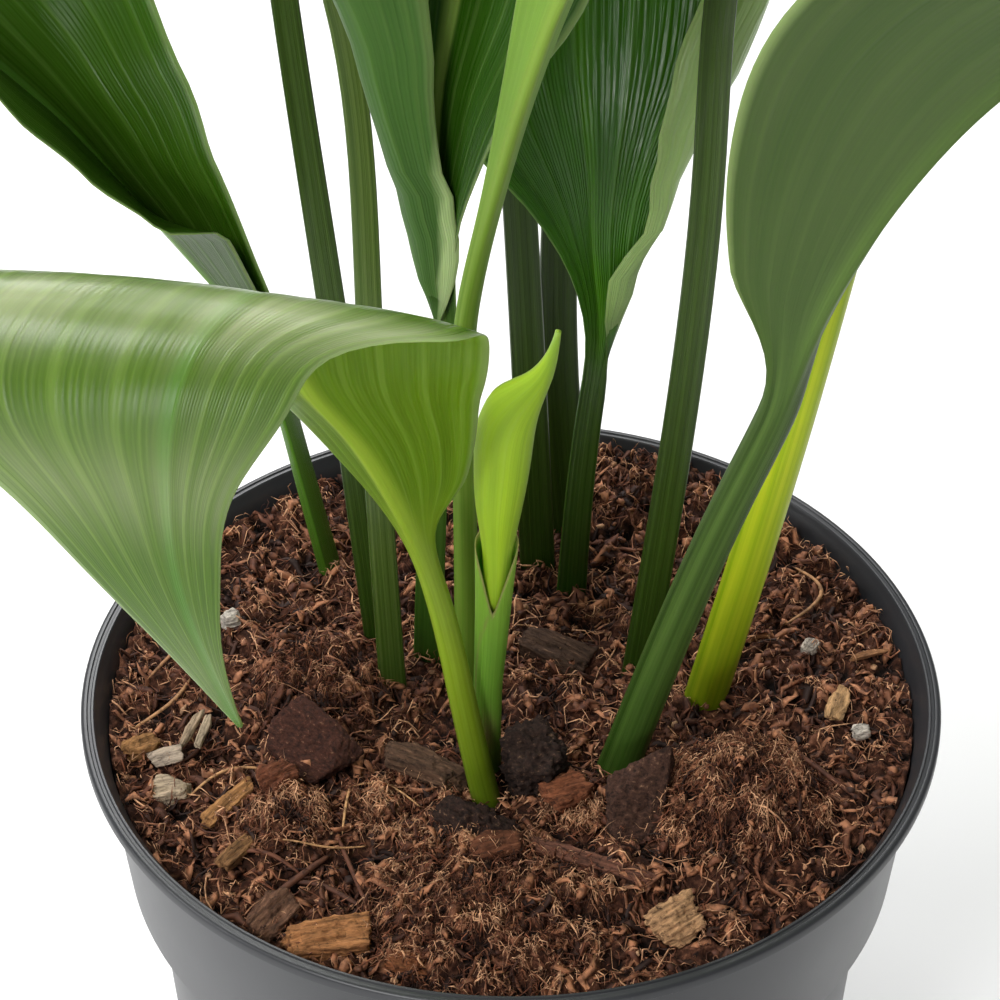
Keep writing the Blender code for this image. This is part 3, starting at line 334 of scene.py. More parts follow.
# Clusters of fuzz: where, how far it spreads, its share of the fibres, and its range of tones.
Fuzz = namedtuple("Fuzz", "x y spread share dull bright")
FUZZ = (
    Fuzz(49, -33, 20, 0.21, 0.05, 0.8),
    Fuzz(-5, -65, 26, 0.19, 0.1, 0.85),
    Fuzz(-48, -36, 10, 0.05, 0.3, 0.95),
    Fuzz(-43, 3, 15, 0.08, 0.0, 0.5),
    Fuzz(13, -32, 7, 0.04, 0.6, 1.0),
    Fuzz(-24, -30, 12, 0.06, 0.3, 0.9),
    Fuzz(0, 0, 89, 0.37, 0.1, 0.9),
)
# Fibres spread evenly over all of the mix.
EVEN = (Fuzz(0, 0, SCATTER_RADIUS, 1.0, 0.0, 1.0),)
# Families of fibres: the setting that counts them, their clusters, the rows and sides of each, the length
# and its spread, the range of the radius, bend, lift, pitch, the range of the flatness, and their colours.
Fibre = namedtuple("Fibre", "name count clusters rows sides length radius bend lift pitch flatness stops")
FIBRES = (
    Fibre("coir_fuzz", "fuzz_count", FUZZ, 4, 3, (2.6, 0.4), (0.07, 0.17), 1.4, 2.2, 0.8, (0.6, 1.0),
          ((0.0, "2A140C"), (0.5, "92563A"), (1.0, "F4BC90"))),
    Fibre("coir_strands", "strand_count", EVEN, 6, 3, (6.5, 0.5), (0.10, 0.30), 1.7, 1.4, 0.2, (0.4, 1.0),
          ((0.0, "24110A"), (0.5, "844C32"), (1.0, "ECB286"))),
    Fibre("coir_shreds", "shred_count", EVEN, 5, 4, (5.0, 0.4), (0.5, 1.3), 0.8, 1.0, 0.35, (0.08, 0.25),
          ((0.0, "24120C"), (0.5, "683C28"), (1.0, "B87C58"))),
)
FIBRE_SEED = 41
CRUMB_SEED = 77
# How much paler the tips of a fibre are.
PALE_TIPS = 0.3
# Painted light and shade: a fibre is painted paler for each mm that it rises on a clump, darker where it
# sinks.
PAINTED_CLUMP_LIGHT = 0.34
CRUMB_TONES = ((0.0, "341E16"), (0.5, "744836"), (0.9, "A87050"), (1.0, "CCA07A"))
STRAND_TONES = ((0.0, "3A2118"), (0.5, "7A4A34"), (1.0, "D2A06E"))
STRAND_ROWS = 14
STRAND_SIDES = 6
STRAND_FLATNESS = 0.7
# Long single strands: three places on the mix, the lift of the arch, the radius and the tone.
Strand = namedtuple("Strand", "start middle end lift radius tone")
STRANDS = (
    Strand((-35, -25), (-35.5, -33), (-36, -41), 2.5, 0.3, 1.0),
    Strand((-35, -25), (-27, -26), (-19, -32), 2.5, 0.28, 1.0),
    Strand((-51, -45), (-40, -46), (-30, -43), 2.2, 0.3, 0.9),
    Strand((-53, -63), (-46, -55), (-38, -46), 1.6, 0.9, 0.25),
    Strand((-46, -54), (-39, -56), (-31, -62), 1.6, 0.7, 0.2),
    Strand((-37, -41), (-34, -50), (-30, -62), 1.8, 0.55, 0.3),
    Strand((-62, -46), (-52, -48), (-44, -52), 1.8, 0.6, 0.4),
    Strand((58, -14), (66, -24), (76, -32), 2.2, 0.7, 0.3),
    Strand((-84, -10), (-76, -2), (-72, 8), 2.5, 0.5, 0.8),
    Strand((-82, 6), (-74, 14), (-66, 10), 3.0, 0.5, 0.7),
    Strand((62, 24), (72, 34), (66, 46), 3.0, 0.5, 0.8),
    Strand((-70, -30), (-62, -22), (-52, -20), 2.5, 0.4, 0.9),
)

# The studio: its even light and its softboxes.
WORLD_STRENGTH = 0.22
Softbox = namedtuple("Softbox", "name place target size power")
SOFTBOXES = (
    Softbox("overhead_softbox", (-0.2, 0.4, 1.9), (0.0, 0.0, 0.2), 1.2, 20.0),
    Softbox("front_softbox", (-0.7, -1.1, 1.5), (0.0, 0.0, 0.2), 0.7, 20.0),
    Softbox("left_softbox", (-1.2, -0.2, 0.7), (0.0, 0.0, 0.25), 0.6, 5.0),
    Softbox("back_softbox", (-0.3, 1.2, 1.5), (0.0, 0.0, 0.3), 1.1, 26.0),
    Softbox("low_front_softbox", (-0.35, -1.5, 0.15), (0.0, 0.0, 0.3), 0.3, 4.0),
)

# The camera, placed where the photograph was taken from
CAMERA_PLACE = (-0.0024, -0.4922, 0.6004)
CAMERA_TILT = 51.0
CAMERA_LENS = 108.0
CAMERA_SENSOR = 36.0
CAMERA_CLIP_START = 0.01


def linear(hex_colour):
    """sRGB hex to the linear colour that shaders take."""
    channels = [int(hex_colour[i:i + 2], 16) / 255 for i in (0, 2, 4)]
    return [c / 12.92 if c <= 0.04045 else ((c + 0.055) / 1.055) ** 2.4 for c in channels] + [1.0]


# Materials

PRINCIPLED = "ShaderNodeBsdfPrincipled"
OUTPUT = "ShaderNodeOutputMaterial"
UV_MAP = "ShaderNodeUVMap"
COORDINATE = "ShaderNodeTexCoord"
ATTRIBUTE = "ShaderNodeAttribute"
MAPPING = "ShaderNodeMapping"
NOISE = "ShaderNodeTexNoise"
WAVE = "ShaderNodeTexWave"
RAMP = "ShaderNodeValToRGB"
MIX = "ShaderNodeMix"
MATH = "ShaderNodeMath"
BUMP = "ShaderNodeBump"


def add_node(tree, kind, inputs=None, stops=(), **settings):
    """Add a node with its settings, its inputs as values, hex colours or links, and a ramp's stops."""
    made = tree.nodes.new(kind)
    for name, value in settings.items():
        setattr(made, name, value)
    for key, value in (inputs or {}).items():
        if isinstance(value, bpy.types.NodeSocket):
            tree.links.new(value, made.inputs[key])
        else:
            made.inputs[key].default_value = linear(value) if isinstance(value, str) else value
    for i, (place, value) in enumerate(stops):
        elements = made.color_ramp.elements
        if i == 0:
            elements.remove(elements[1])
        element = elements[0] if i == 0 else elements.new(place)
        element.position = place
        element.color = linear(value) if isinstance(value, str) else (value, value, value, 1.0)
    return made


def new_material(name, **constants):
    """A material with its Principled shader joined to the output, and the shader's fixed values."""
    made = bpy.data.materials.new(name)
    made.use_nodes = True
    tree = made.node_tree
    tree.nodes.clear()
    shader = add_node(tree, PRINCIPLED, {key.replace("_", " "): value for key, value in constants.items()})
    add_node(tree, OUTPUT, {"Surface": shader.outputs["BSDF"]})
    return made, tree, shader


def layered(tree, colour, layers):
    """Lay colours one over the other on a first colour, each by its share."""
    for share, top in layers:
        colour = add_node(tree, MIX, {0: share, 6: colour, 7: top}, data_type="RGBA").outputs[2]
    return colour


def dress(tree, shader, colour, height=None, strength=1.0, distance=0.0):
    """Give a shader its colour, and a height that bumps its surface by up to the distance in metres."""
    tree.links.new(colour, shader.inputs["Base Color"])
    if height is not None:
        bump = add_node(tree, BUMP, {"Height": height, "Strength": strength, "Distance": distance})
        tree.links.new(bump.outputs["Normal"], shader.inputs["Normal"])


def leaf_material(name, look):
    # Grown leaf: a waxy skin over rows of vessels.  The wax gives it a soft sheen, the vessels show as
    # thin pale lines that run the blade's length, and the thin flesh lets a little light through.
    made, tree, shader = new_material("grown_leaf_" + name, IOR=1.45, Specular_IOR_Level=look.gloss,
                                      Subsurface_Weight=0.2, Subsurface_Radius=FLESH_SPREAD,
                                      Subsurface_Scale=0.0016)
    uv = add_node(tree, UV_MAP, uv_map="blade").outputs["UV"]
    fields = {field: add_node(tree, ATTRIBUTE, attribute_name=field).outputs["Fac"] for field in LEAF_FIELDS}
    run = add_node(tree, MAPPING, {"Vector": uv, "Scale": (1.0, 0.1, 1.0)}).outputs["Vector"]
    vessels = add_node(tree, WAVE, {"Vector": run, "Scale": 2.9, "Distortion": 2.6, "Detail": 1.0,
                                    "Detail Scale": 2.2}).outputs["Fac"]
    vessels = add_node(tree, RAMP, {0: vessels}, ((0.9, 0.0), (0.99, 1.0))).outputs[0]
    threads = add_node(tree, WAVE, {"Vector": run, "Scale": 24.0, "Distortion": 1.4, "Detail": 1.0,
                                    "Detail Scale": 3.0}).outputs["Fac"]
    grain = []
    for stretch, scale, detail in LEAF_GRAIN:
        drawn = add_node(tree, MAPPING, {"Vector": uv, "Scale": stretch}).outputs["Vector"]
        inputs = {"Vector": drawn, "Scale": scale, "Detail": detail}
        grain.append(add_node(tree, NOISE, inputs).outputs["Fac"])
    streaks, bands, strips = grain

    band_share = add_node(tree, RAMP, {0: bands}, ((0.35, 0.0), (0.7, 0.32))).outputs[0]
    streak_share = add_node(tree, RAMP, {0: streaks}, ((0.45, 0.0), (0.85, 0.2))).outputs[0]
    thread_share = add_node(tree, RAMP, {0: threads}, ((0.6, 0.0), (1.0, 0.06))).outputs[0]
    vessel_share = add_node(tree, MATH, {0: vessels, 1: 0.16}, operation="MULTIPLY").outputs[0]
    strip_share = add_node(tree, RAMP, {0: strips}, ((0.36, 0.0), (0.7, 0.9))).outputs[0]
    stalk = layered(tree, look.stalk, ((strip_share, look.stalk_light),))
    midrib = add_node(tree, RAMP, {0: fields["midrib"]}, ((0.05, 0.0), (0.7, 0.85))).outputs[0]
    # Painted sheen: whitish patches laid into the face's colour in the zones of the sheen field.
    patchy = add_node(tree, RAMP, {0: bands}, ((0.3, 0.35), (0.7, 1.0))).outputs[0]
    bloom = add_node(tree, MATH, {0: fields["bloom"], 1: patchy}, operation="MULTIPLY").outputs[0]
    rib_colour = layered(tree, look.stalk_light, ((fields["upper"], look.midrib),))
    # Painted shade: each leaf darkens toward its foot, low among the crowded stalks.
    height = add_node(tree, "ShaderNodeSeparateXYZ", {0: uv}).outputs["Y"]
    foot = add_node(tree, RAMP, {0: height}, ((0.12, 0.5), (0.5, 0.0))).outputs[0]
    # The pale field lays a sliver of painted light over the colour below it.
    colour = layered(tree, look.underside, (
        (fields["upper"], look.face), (band_share, look.shade), (thread_share, look.vein),
        (streak_share, look.vein), (vessel_share, look.vein), (midrib, rib_colour), (bloom, PAINTED_SHEEN_WHITE),
        (fields["pale"], PAINTED_LIGHT_GREEN), (fields["margin"], MARGIN_GREEN), (fields["stalk"], stalk),
        (foot, look.shade)))

    polish = add_node(tree, MATH, {0: fields["upper"], 1: -0.12, 2: look.roughness + 0.1},
                      operation="MULTIPLY_ADD").outputs[0]
    rough = add_node(tree, MATH, {0: streaks, 1: 0.14, 2: polish}, operation="MULTIPLY_ADD").outputs[0]
    tree.links.new(rough, shader.inputs["Roughness"])
    raised = add_node(tree, MATH, {0: vessels, 1: 0.5, 2: streaks}, operation="MULTIPLY_ADD").outputs[0]
    raised = add_node(tree, MATH, {0: threads, 1: 0.25, 2: raised}, operation="MULTIPLY_ADD").outputs[0]
    dress(tree, shader, colour, raised, look.pleat, 0.00035)
    return made


def sheath_material():
    # Grown sheath leaf: thin and dull, drying to pinkish paper along its free edge and brown at its foot.
    made, tree, shader = new_material("grown_papery_sheath", Roughness=0.55, IOR=1.42, Subsurface_Weight=0.2,
                                      Subsurface_Radius=FLESH_SPREAD, Subsurface_Scale=0.0012)
    uv = add_node(tree, UV_MAP, uv_map="blade").outputs["UV"]
    run = add_node(tree, MAPPING, {"Vector": uv, "Scale": (60.0, 2.5, 1.0)}).outputs["Vector"]
    ribs = add_node(tree, NOISE, {"Vector": run, "Scale": 1.0, "Detail": 3.0}).outputs["Fac"]
    ribs = add_node(tree, RAMP, {0: ribs}, ((0.3, 0.0), (0.7, 1.0))).outputs[0]
    high, low, dry = (add_node(tree, ATTRIBUTE, attribute_name=field).outputs["Fac"]
                      for field in SHEATH_FIELDS)
    colour = layered(tree, "58841C", ((ribs, "6E9C30"), (high, "84AE34"), (low, "3F5A22"), (dry, "8A6450")))
    dress(tree, shader, colour, ribs, 0.3, 0.0002)
    return made


def rootstock_material():
    # Grown rootstock: a cream skin with brown scars, dull as it lies in damp mix.
    made, tree, shader = new_material("grown_rootstock_skin", Roughness=0.75)
    place = add_node(tree, COORDINATE).outputs["Object"]
    scars = add_node(tree, NOISE, {"Vector": place, "Scale": 220.0, "Detail": 4.0}).outputs["Fac"]
    dress(tree, shader, add_node(tree, RAMP, {0: scars}, ((0.35, "8A6A45"), (0.6, "CDBB90"))).outputs[0])
    return made


def pot_material():
    # Injection-moulded black polypropylene: the tool's fine grain makes it satin, with soft highlights.
    made, tree, shader = new_material("injection_moulded_polypropylene", IOR=1.49)
    place = add_node(tree, COORDINATE).outputs["Object"]
    grain = add_node(tree, NOISE, {"Vector": place, "Scale": 1800.0, "Detail": 2.0}).outputs["Fac"]
    cloud = add_node(tree, NOISE, {"Vector": place, "Scale": 22.0, "Detail": 4.0}).outputs["Fac"]
    colour = add_node(tree, RAMP, {0: cloud}, ((0.3, "2A2B2E"), (0.7, "333437"))).outputs[0]
    rough = add_node(tree, MATH, {0: cloud, 1: 0.16, 2: 0.30}, operation="MULTIPLY_ADD").outputs[0]
    tree.links.new(rough, shader.inputs["Roughness"])
    dress(tree, shader, colour, grain, 0.12, 0.0001)
    return made


def mix_material():
    # Milled peat and coir dust: dark reddish brown crumbs, with painted shade near black in the hollows.
    made, tree, shader = new_material("milled_peat_and_coir_dust", Roughness=0.95, Specular_IOR_Level=0.25)
    place = add_node(tree, COORDINATE).outputs["Object"]
    hollow = add_node(tree, ATTRIBUTE, attribute_name="hollow").outputs["Fac"]
    crumbs = add_node(tree, NOISE, {"Vector": place, "Scale": 450.0, "Detail": 5.0,
                                    "Roughness": 0.65}).outputs["Fac"]
    patches = add_node(tree, NOISE, {"Vector": place, "Scale": 70.0, "Detail": 3.0}).outputs["Fac"]
    tones = ((0.32, "140A07"), (0.5, "4A2A1C"), (0.7, "93624A"))
    colour = add_node(tree, RAMP, {0: crumbs}, tones).outputs[0]
    peat = add_node(tree, RAMP, {0: patches}, ((0.42, 0.0), (0.62, 0.55))).outputs[0]
    # Painted shade: near black laid over the hollows.
    colour = layered(tree, colour, ((peat, "2C1912"), (hollow, "0A0504")))
    dress(tree, shader, colour, crumbs, 0.9, 0.0012)
    return made


def coir_material(name, tones):
    # Shredded coir: dry woody strands, each of its own tone, matt with paler frayed tips.
    made, tree, shader = new_material("shredded_coir_" + name, Roughness=0.7, Specular_IOR_Level=0.35)
    tone = add_node(tree, ATTRIBUTE, attribute_name="tone").outputs["Fac"]
    place = add_node(tree, COORDINATE).outputs["Object"]
    speck = add_node(tree, NOISE, {"Vector": place, "Scale": 650.0, "Detail": 3.0}).outputs["Fac"]
    colour = add_node(tree, RAMP, {0: tone}, tones).outputs[0]
    dirt = add_node(tree, RAMP, {0: speck}, ((0.36, 0.6), (0.56, 0.0))).outputs[0]
    dress(tree, shader, layered(tree, colour, ((dirt, "2A160F"),)))
    return made


def bark_material(name, piece):
    # Bark, cork or wood broken by hand: open layers along the grain with pale torn fibres and dust.
    made, tree, shader = new_material("broken_%s_%s" % (piece.slot, name), Roughness=0.88,
                                      Specular_IOR_Level=0.3)
    place = add_node(tree, ATTRIBUTE, attribute_name="grain").outputs["Vector"]
    along = 0.7 if name in CRUMBLY else 0.14
    run = add_node(tree, MAPPING, {"Vector": place, "Scale": (along, 1.0, 1.0)}).outputs["Vector"]
    grain, speck = (add_node(tree, NOISE, {"Vector": at, "Scale": scale, "Detail": detail,
                                           "Roughness": 0.7}).outputs["Fac"]
                    for at, scale, detail in ((run, 1000.0, 6.0), (place, 800.0, 4.0)))
    shade = add_node(tree, RAMP, {0: grain}, ((0.34, 0.25), (0.5, 0.8), (0.66, 1.3))).outputs[0]
    colour = add_node(tree, MIX, {0: 1.0, 6: piece.colour, 7: shade}, data_type="RGBA",
                      blend_type="MULTIPLY").outputs[2]
    torn = add_node(tree, RAMP, {0: grain}, ((0.6, 0.0), (0.74, 0.55))).outputs[0]
    dust = add_node(tree, RAMP, {0: speck}, ((0.3, 0.85), (0.43, 0.0))).outputs[0]
    raised = add_node(tree, MATH, {0: speck, 1: 0.5, 2: grain}, operation="MULTIPLY_ADD").outputs[0]
    dress(tree, shader, layered(tree, colour, ((torn, "C79C7A"), (dust, "1A0E0A"))), raised, 1.0, 0.001)
    return made


# Shapes


def add_item(name, data):
    """Put a mesh, a lamp or a camera in the scene."""
    item = bpy.data.objects.new(name, data)
    bpy.context.scene.collection.objects.link(item)
    return item


def add_mesh(name, bm):
    """Put a bmesh in metres in the scene as an object."""
    mesh = bpy.data.meshes.new(name)
    bm.to_mesh(mesh)
    bm.free()
    return add_item(name, mesh)


def finish_mesh(name, bm, material, replaces=()):
    """Turn a bmesh in metres into a smooth piece that rides on the plant."""
    piece = add_mesh(name, bm)
    for face in piece.data.polygons:
        face.use_smooth = True
    piece.data.materials.append(material)
    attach(piece, BODY)
    if replaces:
        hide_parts(*replaces)
    return piece


def spline(knots, values, places):
    """Natural cubic spline through the values at the knots."""
    knots = np.asarray(knots, float)
    values = np.asarray(values, float)
    gap = np.diff(knots)
    slope = np.diff(values, axis=0) / gap[:, None]
    count = len(knots)
    system = np.eye(count)
    right = np.zeros_like(values)
    for i in range(1, count - 1):
        system[i, i - 1:i + 2] = gap[i - 1], 2 * (gap[i - 1] + gap[i]), gap[i]
        right[i] = 6 * (slope[i] - slope[i - 1])
    bend = np.linalg.solve(system, right)
    i = np.clip(np.searchsorted(knots, places, side="right") - 1, 0, count - 2)
    a = (knots[i + 1] - places) / gap[i]
    b = 1 - a
    cubic = ((a**3 - a)[:, None] * bend[i] + (b**3 - b)[:, None] * bend[i + 1]) * (gap[i]**2)[:, None] / 6
    return a[:, None] * values[i] + b[:, None] * values[i + 1] + cubic


def ease(rows, places):
    """Rows of (place, values...) joined by smooth steps."""
    rows = np.asarray(rows, float)
    i = np.clip(np.searchsorted(rows[:, 0], places, side="right") - 1, 0, len(rows) - 2)
    f = np.clip((places - rows[i, 0]) / (rows[i + 1, 0] - rows[i, 0]), 0, 1)
    f = (f * f * (3 - 2 * f))[:, None]
    return rows[i, 1:] * (1 - f) + rows[i + 1, 1:] * f


def sew(bm, distance=0.001):
    """Merge the corners of a skin that meet within a distance in millimetres, and face it outward."""
    bmesh.ops.remove_doubles(bm, verts=bm.verts, dist=distance * MM)
    bmesh.ops.recalc_face_normals(bm, faces=bm.faces)
    return bm


def arc_lengths(points):
    return np.concatenate(([0], np.cumsum(np.linalg.norm(np.diff(points, axis=0), axis=1))))


def unit(vectors):
    return vectors / np.linalg.norm(vectors, axis=-1)[..., None]


def half_blade(places, width, bend):
    """Out and up across one half of the blade, and the surface's angle, at places from 0 to 1."""
    fold, curl, near, far = bend
    q = np.linspace(0, 1, HALF_BLADE_SAMPLES)
    angle = np.radians(fold + curl * np.clip((q - near) / (far - near), 0, 1))
    step = np.diff(q)
    out = np.concatenate(([0], np.cumsum(0.5 * (np.cos(angle[1:]) + np.cos(angle[:-1])) * step)))
    up = np.concatenate(([0], np.cumsum(0.5 * (np.sin(angle[1:]) + np.sin(angle[:-1])) * step)))
    return width * np.interp(places, q, out), width * np.interp(places, q, up), np.interp(places, q, angle)


def petiole_section(radius, across):
    """A ridged stalk, round below and flatter above: points of the top and of the underside."""
    # Shares of the radius: the top's half width, level and crown, then the underside's level and depth.
    theta = np.pi * (np.arange(across) + 0.5) / across
    t = -np.cos(theta)
    ridged = 1 + STALK_RIDGE * np.cos(STALK_RIDGES * theta)
    top = np.stack((0.92 * radius * t, radius * (0.35 + 0.12 * (1 - t**2))), 1)
    bottom = np.stack((radius * t * ridged, 0.2 * radius - 1.15 * radius * np.sin(theta) * ridged), 1)
    return top, bottom


def blade_section(leaf, across, u, blend, radius, widths, plus, minus, pleat):
    """A blade's section: points of the top and of the underside, with pleats, a rib and a thin margin."""
    theta = np.pi * (np.arange(across) + 0.5) / across
    t = (1 - blend) * np.cos(theta)[::-1] / math.cos(theta[0]) + blend * np.linspace(-1, 1, across)
    x, z, lean = np.zeros_like(t), np.zeros_like(t), np.zeros_like(t)
    for sign, width, bend in ((1, widths[0], plus), (-1, widths[1], minus)):
        side = sign * t > 1e-6
        out, up, angle = half_blade(np.abs(t[side]), width, bend)
        x[side], z[side], lean[side] = sign * out, up, sign * angle
    amplitude, count, phase = leaf.wave
    ripple = amplitude * np.sin(2 * np.pi * count * u + phase + np.where(t > 0, 0, 1.9)) * np.abs(t)**2.2
    ripple *= math.sin(math.pi * min(1, u * 1.15)) ** 0.7
    rib = RIB_DEPTH * radius * np.exp(-(np.abs(t) * max(widths) / (0.6 * radius + 0.2))**2)
    groove = RIB_GROOVE * rib * blend
    wide = min(1.0, max(widths) / FULL_PLEAT_WIDTH)
    coarse = np.cos(COARSE_PLEATS * t + 1.3 * math.sin(3 * u))
    pleats = pleat * wide * blend * (coarse + 0.5 * np.cos(FINE_PLEATS * t + 1))
    half = 0.5 * leaf.thickness * (0.75 - 0.45 * np.abs(t)**6)
    normal = np.stack((-np.sin(lean), np.cos(lean)), 1)
    middle = np.stack((x, z + ripple), 1) + pleats[:, None] * normal
    return middle + (half - groove)[:, None] * normal, middle - (half + rib)[:, None] * normal


def leaf_rings(leaf, stations, across, skewed, pleat):
    """Rings of points from foot to tip, and what is known of each ring.

    That is its length along the leaf, its place along the blade, how far the stalk has turned into blade,
    and the two half widths.
    """
    table = np.asarray(leaf.rows, float)
    chord = arc_lengths(table[:, :3])
    fine = np.linspace(0, chord[-1], PATH_SAMPLES)
    length = arc_lengths(spline(chord, table[:, :3], fine))
    start = np.interp(np.interp(leaf.blade_row, np.arange(len(table)), chord), fine, length)
    stalk_stations = max(3, round(stations * STALK_STATIONS))
    s = np.concatenate((np.linspace(0, start, stalk_stations, endpoint=False),
                        np.linspace(start, length[-1], stations - stalk_stations)))
    place = np.interp(s, length, fine)
    centre = spline(chord, table[:, :3], place)
    ahead, behind = (spline(chord, table[:, :3], np.clip(place + step, 0, chord[-1]))
                     for step in (TANGENT_STEP, -TANGENT_STEP))
    tangent = unit(ahead - behind)
    heading, rise = np.radians(spline(chord, table[:, 3:5], place)).T
    side = np.stack((np.cos(heading) * np.cos(rise), np.sin(heading) * np.cos(rise), np.sin(rise)), 1)
    if not skewed:
        side = unit(side - tangent * np.sum(side * tangent, 1)[:, None])
    normal = unit(np.cross(side, tangent))

    u = np.clip((s - start) / (length[-1] - start), 0, 1)
    if len(set(table[:, 5])) > 1:
        widths = np.maximum(spline(chord, table[:, 5:7], place), LEAST_HALF_WIDTH)
        widths[u == 0] = leaf.petiole
    else:
        width = table[0, 5] * ease(BLADE_HALF_WIDTHS, u)
        widths = np.repeat(np.maximum(width, leaf.petiole * (1 - 0.9 * u)[:, None]), 2, axis=1)
    thinned = leaf.petiole * (1 - STALK_TAPER * s / start - BLADE_TAPER * u)
    radius = np.maximum(thinned, LEAST_TAPER * leaf.petiole)
    blend = np.clip(u / leaf.blend, 0, 1)
    blend = blend * blend * (3 - 2 * blend)
    plus, minus = (ease([(*row, 0, 1)[:5] for row in bends], u) for bends in (leaf.plus, leaf.minus))

    rings = np.zeros((stations, 2 * across, 3))
    for i in range(stations):
        stalk = petiole_section(radius[i], across)
        blade = blade_section(leaf, across, u[i], blend[i], radius[i], widths[i], plus[i], minus[i], pleat)
        top, bottom = ((1 - blend[i]) * a + blend[i] * b for a, b in zip(stalk, blade))
        section = np.concatenate((top, bottom[::-1]))
        rings[i] = centre[i] + section[:, :1] * side[i] + section[:, 1:] * normal[i]
    return rings, s, u, blend, widths


def leaf_bmesh(name, leaf, stations, across, pleat):
    """A leaf's closed skin with its blade UVs and the fields that its material reads."""
    rings, along, u, blend, widths = leaf_rings(leaf, stations, across, name == SKEWED, pleat)
    around = 2 * across
    t = np.concatenate((np.linspace(-1, 1, across), np.linspace(1, -1, across)))
    bm = bmesh.new()
    bmesh.ops.create_grid(bm, x_segments=around, y_segments=stations - 1, size=0.5)
    layers = {field: bm.verts.layers.float.new(field) for field in LEAF_FIELDS}
    uv = bm.loops.layers.uv.new("blade")
    places = {}
    # Painted sheen on the upper face, strongest in its zones along the blade.
    bloom = sum((strength * np.exp(-((u - at) / reach)**2) for at, reach, strength in PAINTED_SHEEN_ZONES.get(name, ())),
                np.zeros(stations))
    for vertex in bm.verts:
        column = round((vertex.co.x + 0.5) * around) % around
        row = round((vertex.co.y + 0.5) * (stations - 1))
        places[vertex] = (column, row)
        vertex.co = Vector(rings[row, column]) * MM
        on_top = column < across
        width = max(widths[row])
        away = abs(t[column])
        rib_reach = RIB_REACH_ABOVE if on_top else RIB_REACH_BELOW
        vertex[layers["upper"]] = float(on_top)
        vertex[layers["stalk"]] = 1.0 - blend[row]
        vertex[layers["bloom"]] = bloom[row] if on_top else 0.0
        vertex[layers["midrib"]] = math.exp(-(away * width / rib_reach) ** 2)
        vertex[layers["margin"]] = max(0.0, away * width - width + MARGIN_WIDTH) * blend[row]
        # Painted light: the sliver of the minus half is painted paler.
        if name == PAINTED_LIGHT_LEAF and t[column] < 0:
            over = away - np.interp(u[row], *PAINTED_LIGHT_START)
            vertex[layers["pale"]] = min(1.0, 30 * u[row]) * min(1.0, max(0.0, 16 * over))
    for face in bm.faces:
        for loop in face.loops:
            column, row = places[loop.vert]
            loop[uv].uv = (0.5 * (1 + t[column]), along[row] * UV_PER_MM)
    bmesh.ops.remove_doubles(bm, verts=bm.verts, dist=0.001 * MM)
    bmesh.ops.holes_fill(bm, edges=[e for e in bm.edges if e.is_boundary], sides=0)
    bmesh.ops.recalc_face_normals(bm, faces=bm.faces)
    return bm


def sheath_bmesh(around, rows):
    """The sheath: a tube that widens upward around the young leaf, split by a deep notch in front."""
    table = np.asarray(SHEATH_ROWS, float)
    foot, rim = table[0, 2], table[-1, 2]
    notch = math.radians(SHEATH_NOTCH_HEADING)
    bm = bmesh.new()
    bmesh.ops.create_grid(bm, x_segments=2 * rows, y_segments=around, size=0.5)
    layers = {field: bm.verts.layers.float.new(field) for field in SHEATH_FIELDS}
    uv = bm.loops.layers.uv.new("blade")
    places = {}
    for vertex in bm.verts:
        turned = round((vertex.co.y + 0.5) * around) / around
        column = round((vertex.co.x + 0.5) * 2 * rows) % (2 * rows)
        angle = notch + 2 * math.pi * turned
        facing = abs(math.remainder(angle - notch, 2 * math.pi))
        top = rim - SHEATH_NOTCH * math.exp(-(facing / SHEATH_NOTCH_SPREAD)**1.4)
        outside = column < rows
        share = (column if outside else 2 * rows - 1 - column) / (rows - 1)
        z = foot + (top - foot) * share
        x, y, outer = (np.interp(z, table[:, 2], table[:, k]) for k in (0, 1, 3))
        radius = outer if outside else outer - SHEATH_WALL * (1 - 0.5 * share**4)
        vertex.co = Vector((x + radius * math.cos(angle), y + radius * math.sin(angle), z)) * MM
        places[vertex] = (turned, z)
        # Dry tissue: the free edge, the seam that winds down from the notch, and a patch low in front.
        below = max(0.0, rim - SHEATH_NOTCH - z)
        seam = notch - math.radians(SHEATH_SEAM_TURN) * (1 - math.exp(-below / 7))
        off_seam = math.remainder(angle - seam, 2 * math.pi) * radius
        edge = 0.6 * max(0.0, 1 - (top - z) / 0.5)
        line = 0.35 * math.exp(-(off_seam / 0.3)**2) if 0 < below < SHEATH_SEAM_LENGTH else 0.0
        patch = 0.6 * math.exp(-((z - 152) / 6)**2 - (facing / 0.7)**2)
        vertex[layers["dry"]] = max(edge, line, patch)
        vertex[layers["high"]] = min(1.0, max(0.0, (z - 176) / 26))
        vertex[layers["low"]] = 0.5 * min(1.0, max(0.0, (150 - z) / 10))
    for face in bm.faces:
        for loop in face.loops:
            turned, z = places[loop.vert]
            loop[uv].uv = (turned, z * UV_PER_MM)
    return sew(bm)


def pot_inside():
    """The pot's inside from the floor up to under the rim, as (radius, height)."""
    shelf = POT_HEIGHT - BAND_DEPTH + POT_WALL
    return [(BASE_RADIUS - POT_WALL, FLOOR_TOP), (LOWER_TOP_RADIUS - POT_WALL, shelf),
            (BAND_FOOT_RADIUS - POT_WALL, shelf + 0.5),
            (BAND_TOP_RADIUS - POT_WALL, POT_HEIGHT - LIP_HEIGHT - 2)]


